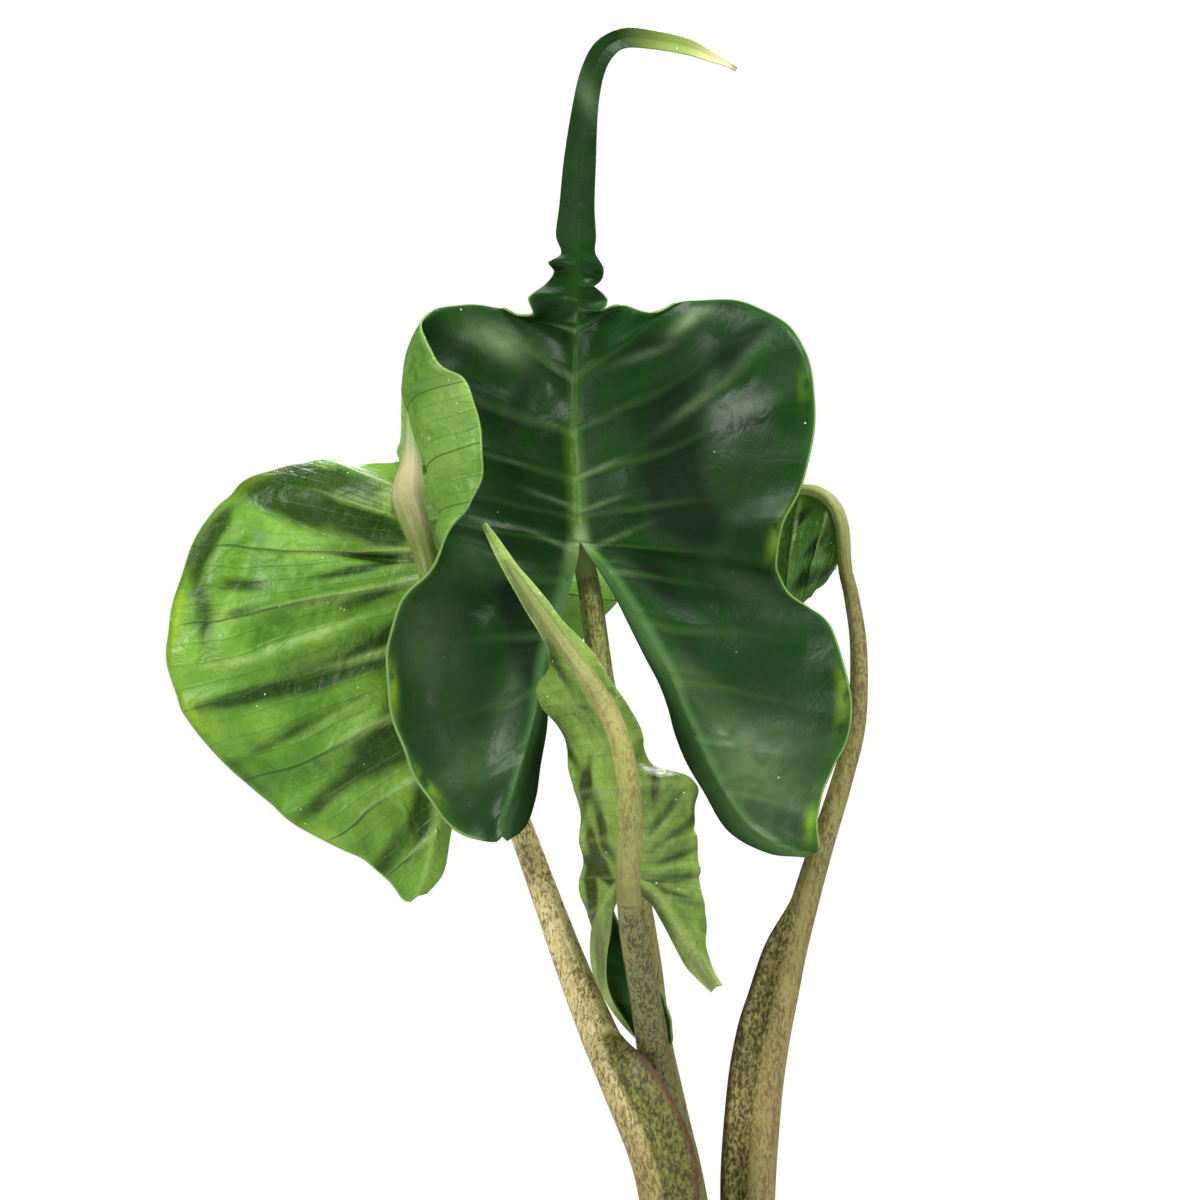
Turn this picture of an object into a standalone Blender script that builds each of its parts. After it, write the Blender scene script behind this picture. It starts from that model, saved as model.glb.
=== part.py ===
"""A giant taro with four stingray-shaped leaves, growing in a plain nursery pot.

Frame: +Z up, the origin at the middle of the pot's flat underside, and the front leaf faces -Y.
All the lists below are in millimetres. The script works in metres.
"""

import math

import bmesh
import bpy
import numpy as np

MM = 0.001
GAP = 0.3
SMOOTH_ANGLE = 40.0
BOW_REACH = 1.5

POT_HEIGHT = 150.0
POT_TOP_RADIUS = 85.0
POT_FOOT_RADIUS = 62.0
POT_WALL = 2.4
POT_FLOOR = 3.0
POT_LIP_WIDTH = 4.0
POT_LIP_DROP = 16.0
POT_LIP_ROUND = 1.5
POT_FOOT_ROUND = 3.0
POT_SIDES = 40
DRAIN_HOLES = 6
DRAIN_HOLE_RADIUS = 5.0
DRAIN_RING_RADIUS = 42.0
DRAIN_SIDES = 12
DRAIN_OVERCUT = 2.0

SOIL_TOP = 135.0
SOIL_LUMP = 2.2
SOIL_RINGS = 5
SOIL_RIM_DROP = 3.0
SOIL_HOLE_EDGE = 1.5
SOIL_SEED = 7

CROWN_TOP = 157.8
CROWN_RADIUS = 26.5
CROWN_DEPTH = 34.0
CROWN_NARROWING = 0.42
CROWN_SIDES = 24
CROWN_SCARS = 4
CROWN_SCAR_DEPTH = 0.9

BLADE_THICKNESS = 0.9
RIB_THICKNESS = 2.4
RIB_SPREAD = 5.0
FULL_RIB_WIDTH = 12.0
PUCKER = 1.1
PLAIN_ROWS_BELOW_TAIL = 4
NO_PUCKER_WIDTH = 10.0
FULL_PUCKER_WIDTH = 30.0
ACROSS = (0.09, 0.24, 0.4, 0.56, 0.72, 0.87, 1.0)
ACROSS_INNER = (0.5, 1.0)
STALK_SIDES = 14
WING_SIDE_RIGHT = 0
WING_SIDE_FRONT_RIGHT = -1
WING_SIDE_LEFT = 7
RIB_SIDES = 10
TAIL_CHANNEL = 0.3

PLASTIC_ROUGHNESS = 0.45
SOIL_ROUGHNESS = 0.95
CROWN_ROUGHNESS = 0.8
STALK_ROUGHNESS = 0.6
BLADE_ROUGHNESS = 0.35
BLACK = (0.025, 0.026, 0.028)
DARK_EARTH = (0.035, 0.022, 0.014)
BARK_BROWN = (0.34, 0.25, 0.14)

# A tail row is (x, y, z, half width) on the midrib, from the tip down.
# A blade row follows one lateral vein: the point on the rib, then its left and its right end. An end is
# (x, y, z, near bow, far bow, overshoot): the margin point, how far the surface stands behind the straight
# chord a third and two thirds of the way out, and how far it swings out past the margin before it rolls back.
# A lobe row is the same, with the outer margin first and the margin along the notch second.
# A stalk row is (x, y, z, radius, reach of the sheath's wing), from the crown up.
# A rib row is (x, y, z, radius), along the underside from the stalk's top.

FRONT_TAIL = [
    (9, -16, 681.9, 0.8),
    (5.1, -15, 684.3, 1),
    (-0.5, -14, 686.8, 1.8),
    (-9.2, -12, 690.8, 2.9),
    (-21.1, -9, 693.7, 3.4),
    (-35, -6, 695.2, 3.8),
    (-43.4, -4, 690.6, 4.3),
    (-48.2, -2, 681.2, 4.5),
    (-51, 0, 667, 5),
    (-53, 2, 647.2, 6.2),
    (-54.2, 3, 629.2, 6.8),
    (-54.6, 4, 616.9, 7.8),
]
FRONT_ROWS = [
    ((-54.5, 4, 610.5), (-60.5, 3, 610, 0, 0, 0), (-47, 3, 610.5, 0, 0, 0)),
    ((-54.5, 4, 606), (-65.5, 0, 606, 0, 0, 0), (-44, 2, 604.5, 0, 0, 0)),
    ((-54.5, 4, 602), (-63.5, 5, 602.5, 0, 0, 0), (-44, 6, 600, 0, 0, 0)),
    ((-54.5, 4, 597), (-67, 4, 597.5, 0, 0, 0), (-47.5, 2, 596.5, 0, 0, 0)),
    ((-54.5, 4, 591.5), (-73.5, 0, 592, 0, 0, 0), (-42, 5, 591.5, 0, 0, 0)),
    ((-54.5, 4, 586), (-72, 6, 585.5, 1, 1, 0), (-44, 1, 586.5, 0, 0, 0)),
    ((-54.5, 3, 579), (-78, 12, 585.5, 2, 2, 0), (-36, 8, 589.5, 1, 1, 0)),
    ((-55, 3, 570.5), (-87.5, 14, 589, 5, 3, 0), (-24, 6, 586.5, 4, 2, 0)),
    ((-55, 2, 560), (-100.5, 8, 589.5, 8, 6, 0), (-9, 14, 592, 7, -6, 0)),
    ((-55.5, 1, 548.5), (-112, -6, 586.5, 10, 14, 0), (11.5, 16, 591.5, 9, -10, 0)),
    ((-55.5, 1, 538), (-115, -24, 578.5, 10, 16, -40), (28, 8, 583.5, 11, -8, 0)),
    ((-55, 0, 528), (-108.5, -34, 565, 12, 14, -56), (37.5, -2, 570, 13, -2, 0)),
    ((-54.5, 0, 519), (-98.5, -38, 558, 12, 12, -66), (40.5, -8, 554, 14, 0, 0)),
    ((-54, 0, 511), (-93.5, -40, 546.5, 12, 10, -66), (40, -12, 535.5, 14, 2, 0)),
    ((-54, 0, 504), (-91, -42, 531.5, 12, 8, -61), (35, -14, 516.5, 14, 4, 0)),
    ((-53.5, 0, 498.5), (-91.5, -42, 519, 12, 8, -62), (27.5, -14, 500.5, 12, 4, 0)),
    ((-53, 0, 494), (-95.5, -40, 509, 12, 8, -47), (25.5, -10, 487, 10, 3, 0)),
]
FRONT_LEFT_LOBE = [
    ((-55, -1, 488), (-103, -38, 499.5, 12, 8, -36), (-54, -1, 487, 0, 0, 0)),
    ((-57.5, -3, 479.5), (-112.5, -36, 482, 12, 10, -3), (-56, -3, 479, 0, 0, 0)),
    ((-60, -6, 470), (-124, -33, 468, 12, 12, 0), (-58.5, -6, 469.5, 0, 0, 0)),
    ((-63.5, -9, 459), (-128.5, -30, 451.5, 10, 14, 0), (-61.5, -9, 459, 0, 0, 0)),
    ((-66.5, -11, 449), (-128, -28, 433.5, 9, 14, 0), (-65, -10, 448.5, 0, 0, 0)),
    ((-68.5, -13, 437), (-123.5, -26, 415.5, 8, 12, 0), (-65.5, -9, 435, 0, 0, 0)),
    ((-71, -15, 424), (-118.5, -24, 401.5, 7, 10, 0), (-66, -9, 420.5, 1, 0, 0)),
    ((-74.5, -16, 410.5), (-111, -23, 389.5, 6, 8, 0), (-68.5, -10, 405.5, 1, 0, 0)),
    ((-78.5, -17, 397.5), (-102, -22, 379.5, 4, 6, 0), (-70.5, -12, 392, 1, 0, 0)),
    ((-82.5, -18, 387), (-92.5, -21, 376.5, 2, 3, 0), (-74.5, -15, 381, 1, 0, 0)),
    ((-84, -19, 377.5), (-86, -19, 375, 0, 0, 0), (-81.5, -19, 375.5, 0, 0, 0)),
]
FRONT_RIGHT_LOBE = [
    ((-49, 0, 491), (27, -6, 479, 10, 3, 0), (-50.5, 0, 490, 0, 0, 0)),
    ((-42.5, 0, 483.5), (33.5, -4, 471, 10, 3, 0), (-45, 0, 482, 0, 0, 0)),
    ((-35.5, -1, 473.5), (45, -6, 463.5, 9, 3, 0), (-38.5, 0, 471, 0, 0, 0)),
    ((-28.5, -2, 462), (50, -10, 452.5, 9, 3, 0), (-32.5, -1, 459, 0, 0, 0)),
    ((-22, -3, 451), (54, -13, 437, 8, 3, 0), (-27, -2, 448, 0, 0, 0)),
    ((-16.5, -5, 440), (55, -15, 424.5, 8, 2, 0), (-21.5, -2, 437.5, 1, 0, 0)),
    ((-12, -7, 428.5), (52.5, -16, 413.5, 7, 2, 0), (-18, -3, 428, 1, 0, 0)),
    ((-7, -9, 417.5), (47.5, -17, 404, 6, 2, 0), (-15, -5, 417, 1, 0, 0)),
    ((-2, -11, 406.5), (43.5, -18, 394.5, 5, 2, 0), (-10.5, -7, 406, 1, 0, 0)),
    ((4.5, -13, 394.5), (41.5, -19, 385.5, 4, 1, 0), (-4, -10, 395, 1, 0, 0)),
    ((13.5, -15, 382), (41.5, -20, 377.5, 3, 1, 0), (6, -13, 379, 1, 0, 0)),
    ((26.5, -18, 373.5), (42, -20, 372.5, 0, 0, 0), (21.5, -17, 370.5, 0, 0, 0)),
    ((37.5, -20, 370.5), (40, -20, 370.5, 0, 0, 0), (36, -20, 369, 0, 0, 0)),
]
LEFT_TAIL = [
    (-90.2, 58, 579.4, 0.9),
    (-98.4, 60, 580.3, 1.6),
    (-108.3, 62, 578.8, 2.4),
    (-116.2, 63, 573, 2.8),
    (-121.2, 64, 563.6, 3),
    (-123.2, 64, 553.3, 3.2),
    (-122.8, 64, 543.4, 3.8),
    (-122.4, 63, 536.8, 4.6),
]
LEFT_ROWS = [
    ((-122.5, 62, 532), (-128.5, 63, 532, 0, 0, 0), (-116, 63, 532, 0, 0, 0)),
    ((-122.5, 60, 527.5), (-127.5, 62, 527.5, 0, 0, 0), (-115, 63, 529.5, 0, 0, 0)),
    ((-123, 58, 523.5), (-133, 61, 527, 0, 0, 0), (-107.5, 67, 531, 0, 0, 0)),
    ((-124, 55, 518.5), (-147, 66, 526, -4, -6, 0), (-95.5, 72, 533, 2, 2, 0)),
    ((-123, 51, 513), (-161.5, 68, 528, -8, -12, 0), (-80, 76, 534, 3, 3, 0)),
    ((-122, 47, 507.5), (-173.5, 66, 524.5, -10, -12, 0), (-61.5, 78, 530.5, 3, 3, 0)),
    ((-120, 42, 501.5), (-188, 64, 520.5, -8, -12, 0), (-46.5, 78, 520.5, 3, 3, 0)),
    ((-118, 38, 496), (-202, 60, 509, -4, -10, 0), (-37.5, 76, 507.5, 3, 3, 0)),
    ((-116.5, 34, 491), (-212, 56, 492.5, 0, -8, 0), (-33.5, 72, 493.5, 3, 3, 0)),
    ((-115, 31, 486.5), (-218, 52, 474.5, 2, -8, 0), (-34, 68, 481.5, 3, 3, 0)),
]
LEFT_LEFT_LOBE = [
    ((-114, 33, 480.5), (-221, 48, 458, 2, -8, 0), (-113, 33, 480.5, 0, 0, 0)),
    ((-113, 35, 470), (-221, 45, 443, 3, -6, 0), (-111, 36, 470, 0, 0, 0)),
    ((-111.5, 36, 458), (-214.5, 44, 425.5, 3, -6, 0), (-108, 39, 458, 0, 0, 0)),
    ((-111, 36, 445), (-203.5, 44, 410, 4, -5, 0), (-105.5, 40, 444.5, 0, 0, 0)),
    ((-110, 38, 431), (-189.5, 44, 396.5, 4, -4, 0), (-104, 43, 430, 0, 0, 0)),
    ((-110, 40, 417), (-174, 44, 383, 3, -4, 0), (-103.5, 45, 415.5, 0, 0, 0)),
    ((-110, 41, 402.5), (-158.5, 44, 373.5, 3, -3, 0), (-103.5, 46, 401, 0, 0, 0)),
    ((-110, 42, 388), (-143.5, 44, 366, 2, -2, 0), (-104.5, 46, 387, 0, 0, 0)),
    ((-112, 42, 374), (-131.5, 44, 357, 1, -1, 0), (-106.5, 45, 374, 0, 0, 0)),
    ((-115, 42, 360), (-125.5, 43, 349, 0, 0, 0), (-109, 44, 360, 0, 0, 0)),
    ((-119, 42, 350.5), (-122, 43, 348, 0, 0, 0), (-115.5, 43, 351.5, 0, 0, 0)),
]
LEFT_RIGHT_LOBE = [
    ((-107.5, 35, 479), (-38, 64, 470.5, 2, 2, 0), (-109.5, 36, 478.5, 0, 0, 0)),
    ((-101, 39, 471), (-45, 63, 463, 2, 2, 0), (-104, 40, 469.5, 0, 0, 0)),
    ((-95, 43, 462.5), (-53, 63, 453.5, 2, 2, 0), (-99, 44, 459.5, 0, 0, 0)),
    ((-89.5, 48, 453.5), (-60.5, 63, 444.5, 1, 1, 0), (-94, 49, 449.5, 0, 0, 0)),
    ((-85, 53, 444.5), (-67, 64, 435, 1, 1, 0), (-89.5, 54, 440, 0, 0, 0)),
    ((-81.5, 57, 435.5), (-73, 62, 428.5, 0, 0, 0), (-85, 58, 431, 0, 0, 0)),
]
ROLLED_TAIL = [
    (-90.8, -27, 501, 0.9),
    (-87.7, -28, 495.9, 1.6),
    (-83.7, -30, 489.1, 2.3),
    (-79.3, -31, 482, 2.9),
    (-74.5, -33, 475.3, 3.8),
    (-69.4, -35, 467.9, 4.6),
    (-64.3, -37, 460.4, 5),
]
ROLLED_ROWS = [
    ((-59.5, -40, 454), (-65, -32, 451.5, 0, 0, 0), (-54, -34, 456.5, 0, 0, -1)),
    ((-54, -43, 446.5), (-63.5, -30, 444, 0, 0, -5.5), (-48, -34, 449.5, 0, 0, 2.5)),
    ((-48.5, -46, 439), (-58.5, -24, 435.5, 2, 6, -25.5), (-42.5, -32, 441, 0, 0, 2.5)),
    ((-43.5, -48, 431), (-53, -18, 428, 4, 8, -29.5), (-37, -30, 432.5, 0, 0, 2.5)),
    ((-39.5, -50, 423.5), (-49, -14, 420, 4, 10, -28), (-32.5, -28, 425, 0, 2, 3)),
    ((-37, -51, 415.5), (-46.5, -12, 412, 8, 10, -25), (-29, -26, 416.5, 0, 3, 4)),
    ((-35, -51, 405.5), (-46, -10, 402.5, 6, 12, -25.5), (-26, -24, 406, 0, 3, 2.5)),
    ((-33.5, -50, 398), (-45, -9, 394, 4, 12, -24), (-20.5, -16, 400, 0, 6, 25.5)),
    ((-33.5, -49, 387), (-44, -8, 383.5, 4, 12, -21.5), (-20.5, -12, 388.5, 0, 6, 29.5)),
    ((-33.5, -48, 377), (-42.5, -8, 373.5, 4, 12, -22.5), (-19.5, -12, 378.5, 0, 6, 30.5)),
    ((-33.5, -47, 368.5), (-42, -8, 365, 4, 12, -21.5), (-18.5, -12, 369, 0, 6, 30.5)),
    ((-34, -46, 361.5), (-41, -10, 358, 4, 12, -22.5), (-18, -14, 361.5, 0, 6, 29.5)),
]
ROLLED_LEFT_LOBE = [
    ((-39, -43, 357.5), (-40, -10, 349.5, 0, 10, -21), (-37, -42, 356, 0, 0, 0)),
    ((-42.5, -40, 351), (-37, -8, 340.5, 0, 10, -16), (-39.5, -40, 349, 0, 0, 0)),
    ((-46, -37, 343), (-31.5, -8, 330.5, 0, 12, -13.5), (-40.5, -37.5, 340.5, 0, 0, 0)),
    ((-47, -34, 334), (-25, -8, 321.5, 2, 12, -9.5), (-42, -34.5, 331, 0, 0, 0)),
    ((-46, -31, 324.5), (-20.5, -8, 313, 4, 10, -4), (-42, -31, 321.5, 0, 0, 0)),
    ((-42, -24, 314.5), (-17.5, -7, 306, 4, 8, -5), (-39, -24.5, 312.5, 0, 0, 0)),
    ((-36.5, -15, 305), (-16.5, -5, 299.5, 4, 6, -2.5), (-33.5, -16, 303.5, 0, 0, 0)),
    ((-30, -7, 297), (-16.5, -4, 295, 2, 3, 0), (-28, -7, 295, 0, 0, 0)),
    ((-23, -4, 293), (-18, -4, 293, 0, 0, 0), (-21, -4, 291.5, 0, 0, 0)),
]
ROLLED_RIGHT_LOBE = [
    ((-28.5, -44, 359.5), (-15, -16, 354.5, 0, 6, 24), (-31, -42, 357, 0, 0, 0)),
    ((-24, -42, 355), (-11.5, -18, 348, 0, 4, 20), (-24.5, -38, 352, 0, 0, 0)),
    ((-18.5, -40, 347.5), (-8.5, -22, 342, 0, 2, 14.5), (-20, -37, 344.5, 0, 0, 0)),
    ((-14, -38, 339.5), (-5.5, -26, 336, 0, 0, 7), (-15.5, -35, 335.5, 0, 0, 0)),
    ((-9.5, -36, 332), (-3, -30, 330, 0, 0, 3), (-11, -33, 327, 0, 0, 0)),
    ((-5, -34, 325.5), (-1, -32, 325, 0, 0, 1), (-7, -32, 322.5, 0, 0, 0)),
    ((0.5, -33, 318.5), (3, -32, 319, 0, 0, 0), (-1, -32, 316.5, 0, 0, 0)),
]
RIGHT_TAIL = [
    (-1.7, 46, 413, 0.9),
    (-4.1, 48, 420.3, 1.4),
    (-6.5, 50, 430.1, 2.2),
    (-7.3, 53, 441.5, 3),
    (-6.5, 55, 453.8, 3.8),
    (-4, 56, 465.3, 4.6),
    (0.1, 56, 475.9, 5.4),
]
RIGHT_ROWS = [
    ((5, 55, 486.5), (10.5, 50, 483, 0, 0, 0), (5, 64, 484, 0, 0, 0)),
    ((10.5, 53, 494.5), (13.5, 43, 478.5, 0, -4, 0), (12, 76, 486.5, 0, 0, 0)),
    ((16.5, 50, 501.5), (17, 36, 469.5, 0, -6, 0), (20, 86, 482.5, 0, 0, 0)),
    ((23, 47, 507.5), (20, 31, 461.5, 0, -8, 0), (28.5, 90, 479.5, 0, 0, 0)),
    ((30.5, 44, 512), (23.5, 28, 456.5, 0, -8, 0), (37.5, 92, 477, 0, 0, 0)),
    ((37.5, 40, 514.5), (27, 27, 455.5, 0, -8, 0), (45, 88, 475, 0, 0, 0)),
    ((44.5, 36, 513.5), (30.5, 27, 459, 0, -6, 0), (49.5, 80, 479.5, 0, 0, 0)),
    ((49, 33, 508.5), (33.5, 27, 463.5, 0, -4, 0), (51.5, 70, 483.5, 0, 0, 0)),
    ((52, 30, 501.5), (36, 28, 468.5, 0, -2, 0), (52.5, 58, 486, 0, 0, 0)),
    ((53, 29, 494), (39.5, 29, 472.5, 0, 0, 0), (53.5, 46, 486.5, 0, 0, 0)),
    ((53, 28, 488.5), (44, 29, 477.5, 0, 0, 0), (53.5, 37, 485.5, 0, 0, 0)),
]
FRONT_STALK = [
    (-3, 16, 156, 7.5, 0),
    (-4.5, 15.5, 193, 7.4, 0),
    (-9, 14, 229.5, 7.3, 0),
    (-17, 12, 266, 7, 0),
    (-23, 11, 294, 6.8, 0),
    (-27, 10, 326.5, 6.4, 0),
    (-32, 9, 358.5, 6, 0),
    (-37, 9, 394.5, 5.6, 0),
    (-41, 9, 423, 5.2, 0),
    (-44, 9, 437, 5, 0),
    (-46, 9, 451, 4.9, 0),
    (-48, 9.5, 466, 4.8, 0),
    (-49, 9.5, 473.5, 4.7, 0),
]
FRONT_RIB = [
    (-50.2, 8.8, 479.8, 4.5),
    (-51.6, 6.5, 487, 4.3),
    (-53.4, 3.8, 495, 4),
    (-54.2, 3, 505, 3.6),
    (-55, 3, 519.1, 3.3),
    (-55.4, 3.5, 539.1, 3),
    (-55, 4.5, 563.2, 2.6),
    (-54.6, 5.5, 587.3, 2.3),
    (-54.2, 5.5, 611.4, 2),
    (-53.8, 4.3, 629.3, 1.6),
]
LEFT_STALK = [
    (-13, -11, 160, 8.5, 0),
    (-15.5, -19, 197.5, 9, 4),
    (-20.5, -25, 233.5, 9, 8),
    (-25.5, -26, 253.5, 8.8, 11),
    (-35.5, -22, 277, 8.4, 8.5),
    (-41.5, -15, 290, 8, 2.5),
    (-46, -8, 299.5, 7.6, 0),
    (-57, 0, 326, 6.5, 0),
    (-66, 5, 350, 5.7, 0),
    (-75.5, 11, 375.5, 5.2, 0),
    (-86.5, 17, 402.5, 5.2, 0),
    (-97.5, 21, 430.5, 5.2, 0),
    (-107, 23, 459, 5.2, 0),
    (-110.5, 23.5, 471, 5, 0),
]
LEFT_RIB = [
    (-112.9, 24.5, 479.1, 4.9),
    (-115, 26.5, 486.4, 4.8),
    (-117.7, 33, 495.4, 5.4),
    (-120.7, 39, 503.6, 6.2),
    (-123, 45, 511, 6.6),
    (-123.2, 51, 517.7, 6.4),
    (-122.5, 55.5, 524.3, 5),
    (-122.2, 58.5, 532.6, 3.6),
    (-122.7, 60.5, 543.3, 2.6),
    (-122.7, 61.5, 554.1, 2),
]
ROLLED_STALK = [
    (0, 1, 158, 6.8, 0),
    (-4, 0, 195, 6.8, 0),
    (-9, -1, 231, 6.8, 0),
    (-13, -2, 251, 6.8, 0),
    (-18, -5, 267.5, 6.8, 0),
    (-23, -12, 288, 6.7, 0),
    (-27, -28, 313, 6.2, 0),
    (-31.5, -43, 337.5, 5.6, 0),
    (-33.5, -51, 352, 5, 0),
]
ROLLED_RIB = [
    (-34.1, -51.3, 361.6, 4.9),
    (-33.7, -50.5, 373.3, 5),
    (-33.3, -51.5, 385.1, 4.8),
    (-34.1, -52.5, 396.8, 4.6),
    (-35.2, -53, 406.6, 4.5),
    (-37.2, -53, 415.6, 4.3),
    (-40.7, -52, 424.9, 4.1),
    (-45, -50, 433.1, 3.9),
    (-49.7, -47.5, 440.1, 3.6),
    (-55.6, -44.5, 448.3, 3.2),
    (-62.3, -40.5, 457.7, 2.8),
    (-68.6, -37.5, 466.7, 2.4),
    (-74.9, -35, 475.7, 1.9),
    (-79.7, -32.6, 482.8, 1.4),
]
RIGHT_STALK = [
    (17.5, 3, 158, 8, 0),
    (18, 3, 194.5, 8, 3),
    (17.5, 3, 230.5, 7.6, 7),
    (20.5, 4, 270.5, 7.3, 8),
    (24, 5, 294.5, 7, 8),
    (27.5, 6, 310.5, 6.6, 7),
    (32, 8, 330.5, 6.1, 5),
    (37.5, 10, 350.5, 5.6, 0),
    (43.5, 12, 370.5, 5, 0),
    (52.5, 16, 398.5, 4.3, 0),
    (58.5, 20, 422, 3.9, 0),
    (59.5, 24, 451, 3.5, 0),
    (57, 27, 471, 3.1, 0),
    (54.5, 28, 482, 2.9, 0),
]
RIGHT_RIB = [
    (53.8, 27.5, 488, 2.9),
    (53.6, 28, 494.1, 2.9),
    (52.7, 29, 501.8, 2.9),
    (49.9, 31.5, 509.1, 2.9),
    (44.8, 35, 514.1, 2.8),
    (37.6, 39, 515.8, 2.5),
    (30.1, 44, 513, 2.2),
    (22.4, 48, 508.6, 1.9),
    (15.6, 51, 502.5, 1.6),
    (9.5, 54, 495.6, 1.3),
]


def new_object(name, bm, colour, roughness):
    """Makes a named object of a bmesh whose points are in millimetres, with its own material."""
    bmesh.ops.scale(bm, vec=(MM, MM, MM), verts=bm.verts)
    mesh = bpy.data.meshes.new(name)
    bm.to_mesh(mesh)
    bm.free()
    mesh.shade_smooth()
    mesh.set_sharp_from_angle(angle=math.radians(SMOOTH_ANGLE))
    obj = bpy.data.objects.new(name, mesh)
    bpy.context.scene.collection.objects.link(obj)
    material = bpy.data.materials.new(name)
    material.use_nodes = True
    shader = material.node_tree.nodes["Principled BSDF"]
    shader.inputs["Base Color"].default_value = (*colour, 1.0)
    shader.inputs["Roughness"].default_value = roughness
    mesh.materials.append(material)
    return obj


def loft(rings):
    """A closed body through rings of points, with a flat cap at each end."""
    bm = bmesh.new()
    loops = [[bm.verts.new(point) for point in ring] for ring in rings]
    for low, high in zip(loops, loops[1:]):
        for i, corner in enumerate(low):
            after = (i + 1) % len(low)
            bm.faces.new((corner, low[after], high[after], high[i]))
    bm.faces.new(loops[0][::-1])
    bm.faces.new(loops[-1])
    bmesh.ops.recalc_face_normals(bm, faces=bm.faces)
    return bm


def turned(profile, sides):
    """A closed body turned round Z from an outline of (radius, z) points that starts and ends on the axis."""
    bm = bmesh.new()
    turn = 2 * math.pi / sides
    loops = []
    for radius, z in profile:
        if radius == 0:
            loops.append([bm.verts.new((0, 0, z))] * sides)
        else:
            loops.append([
                bm.verts.new((radius * math.cos(i * turn), radius * math.sin(i * turn), z))
                for i in range(sides)
            ])
    for low, high in zip(loops, loops[1:]):
        for i in range(sides):
            after = (i + 1) % sides
            corners = dict.fromkeys((low[i], low[after], high[after], high[i]))
            bm.faces.new(tuple(corners))
    bmesh.ops.recalc_face_normals(bm, faces=bm.faces)
    return bm


def frames_along(path):
    """For each point of a path, two directions square to it, which turn as little as they can."""
    along = np.gradient(np.array(path, float), axis=0)
    along /= np.linalg.norm(along, axis=1)[:, None]
    side = np.cross((0, 1, 0), along[0])
    frames = []
    for direction in along:
        side = side - direction * (side @ direction)
        side = side / np.linalg.norm(side)
        frames.append((side, np.cross(direction, side)))
    return frames


def ring_round(centre, side, front, radius, sides):
    """Points of a circle round a centre. side and front are its two unit directions."""
    turn = 2 * math.pi / sides
    return [
        np.array(centre) + radius * (math.cos(i * turn) * side + math.sin(i * turn) * front)
        for i in range(sides)
    ]


def tube(rows, sides):
    """A round bar that follows rows of (x, y, z, radius), with its first end level."""
    path = [row[:3] for row in rows]
    rings = [
        ring_round(row[:3], side, front, row[3], sides)
        for row, (side, front) in zip(rows, frames_along(path))
    ]
    level(rings[0], rows[0][2])
    return loft(rings)


def level(ring, z):
    """Moves a ring of points to one height, so that two pieces meet on flat faces."""
    for point in ring:
        point[2] = z


def stalk(name, rows, wing_side, colour):
    """A leaf stalk: a tapering bar whose lower part carries one thin wing, the edge of its sheath.

    wing_side is the side that the wing stands on, of STALK_SIDES counted round from +X through +Y.
    """
    path = [row[:3] for row in rows]
    wing = wing_side % STALK_SIDES
    rings = []
    for row, (side, front) in zip(rows, frames_along(path)):
        ring = ring_round(row[:3], side, front, row[3], STALK_SIDES)
        outward = ring[wing] - np.array(row[:3])
        ring[wing] = ring[wing] + outward * row[4] / row[3]
        rings.append(ring)
    level(rings[0], CROWN_TOP + GAP)
    level(rings[-1], rows[-1][2])
    return new_object(name, loft(rings), colour, STALK_ROUGHNESS)


def across(rib, end, shares):
    """Points from just off the rib to the margin, along the curve that an end describes."""
    x, y, z, near_bow, far_bow, overshoot = end
    rib, margin = np.array(rib, float), np.array((x, y, z), float)
    near = rib + (margin - rib) / 3 + np.array((overshoot / 2, near_bow * BOW_REACH, 0))
    far = rib + (margin - rib) * 2 / 3 + np.array((overshoot, far_bow * BOW_REACH, 0))
    return [
        (1 - v) ** 3 * rib + 3 * v * (1 - v) ** 2 * near + 3 * v * v * (1 - v) * far + v**3 * margin
        for v in shares
    ]


def tail_rows(tail, towards_upper):
    """Blade rows for the tail. Its margins run beside its midrib, a little towards its upper face."""
    path = np.array([row[:3] for row in tail], float)
    along = np.gradient(path, axis=0)
    rows = []
    for (x, y, z, half), (dx, _, dz) in zip(tail, along):
        length = math.hypot(dx, dz)
        out_x, out_z = half * dz / length, -half * dx / length
        edge_y = y + towards_upper * TAIL_CHANNEL * abs(half)
        rows.append((
            (x, y, z),
            (x + out_x, edge_y, z + out_z, 0, 0, 0),
            (x - out_x, edge_y, z - out_z, 0, 0, 0),
        ))
    return rows


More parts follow.
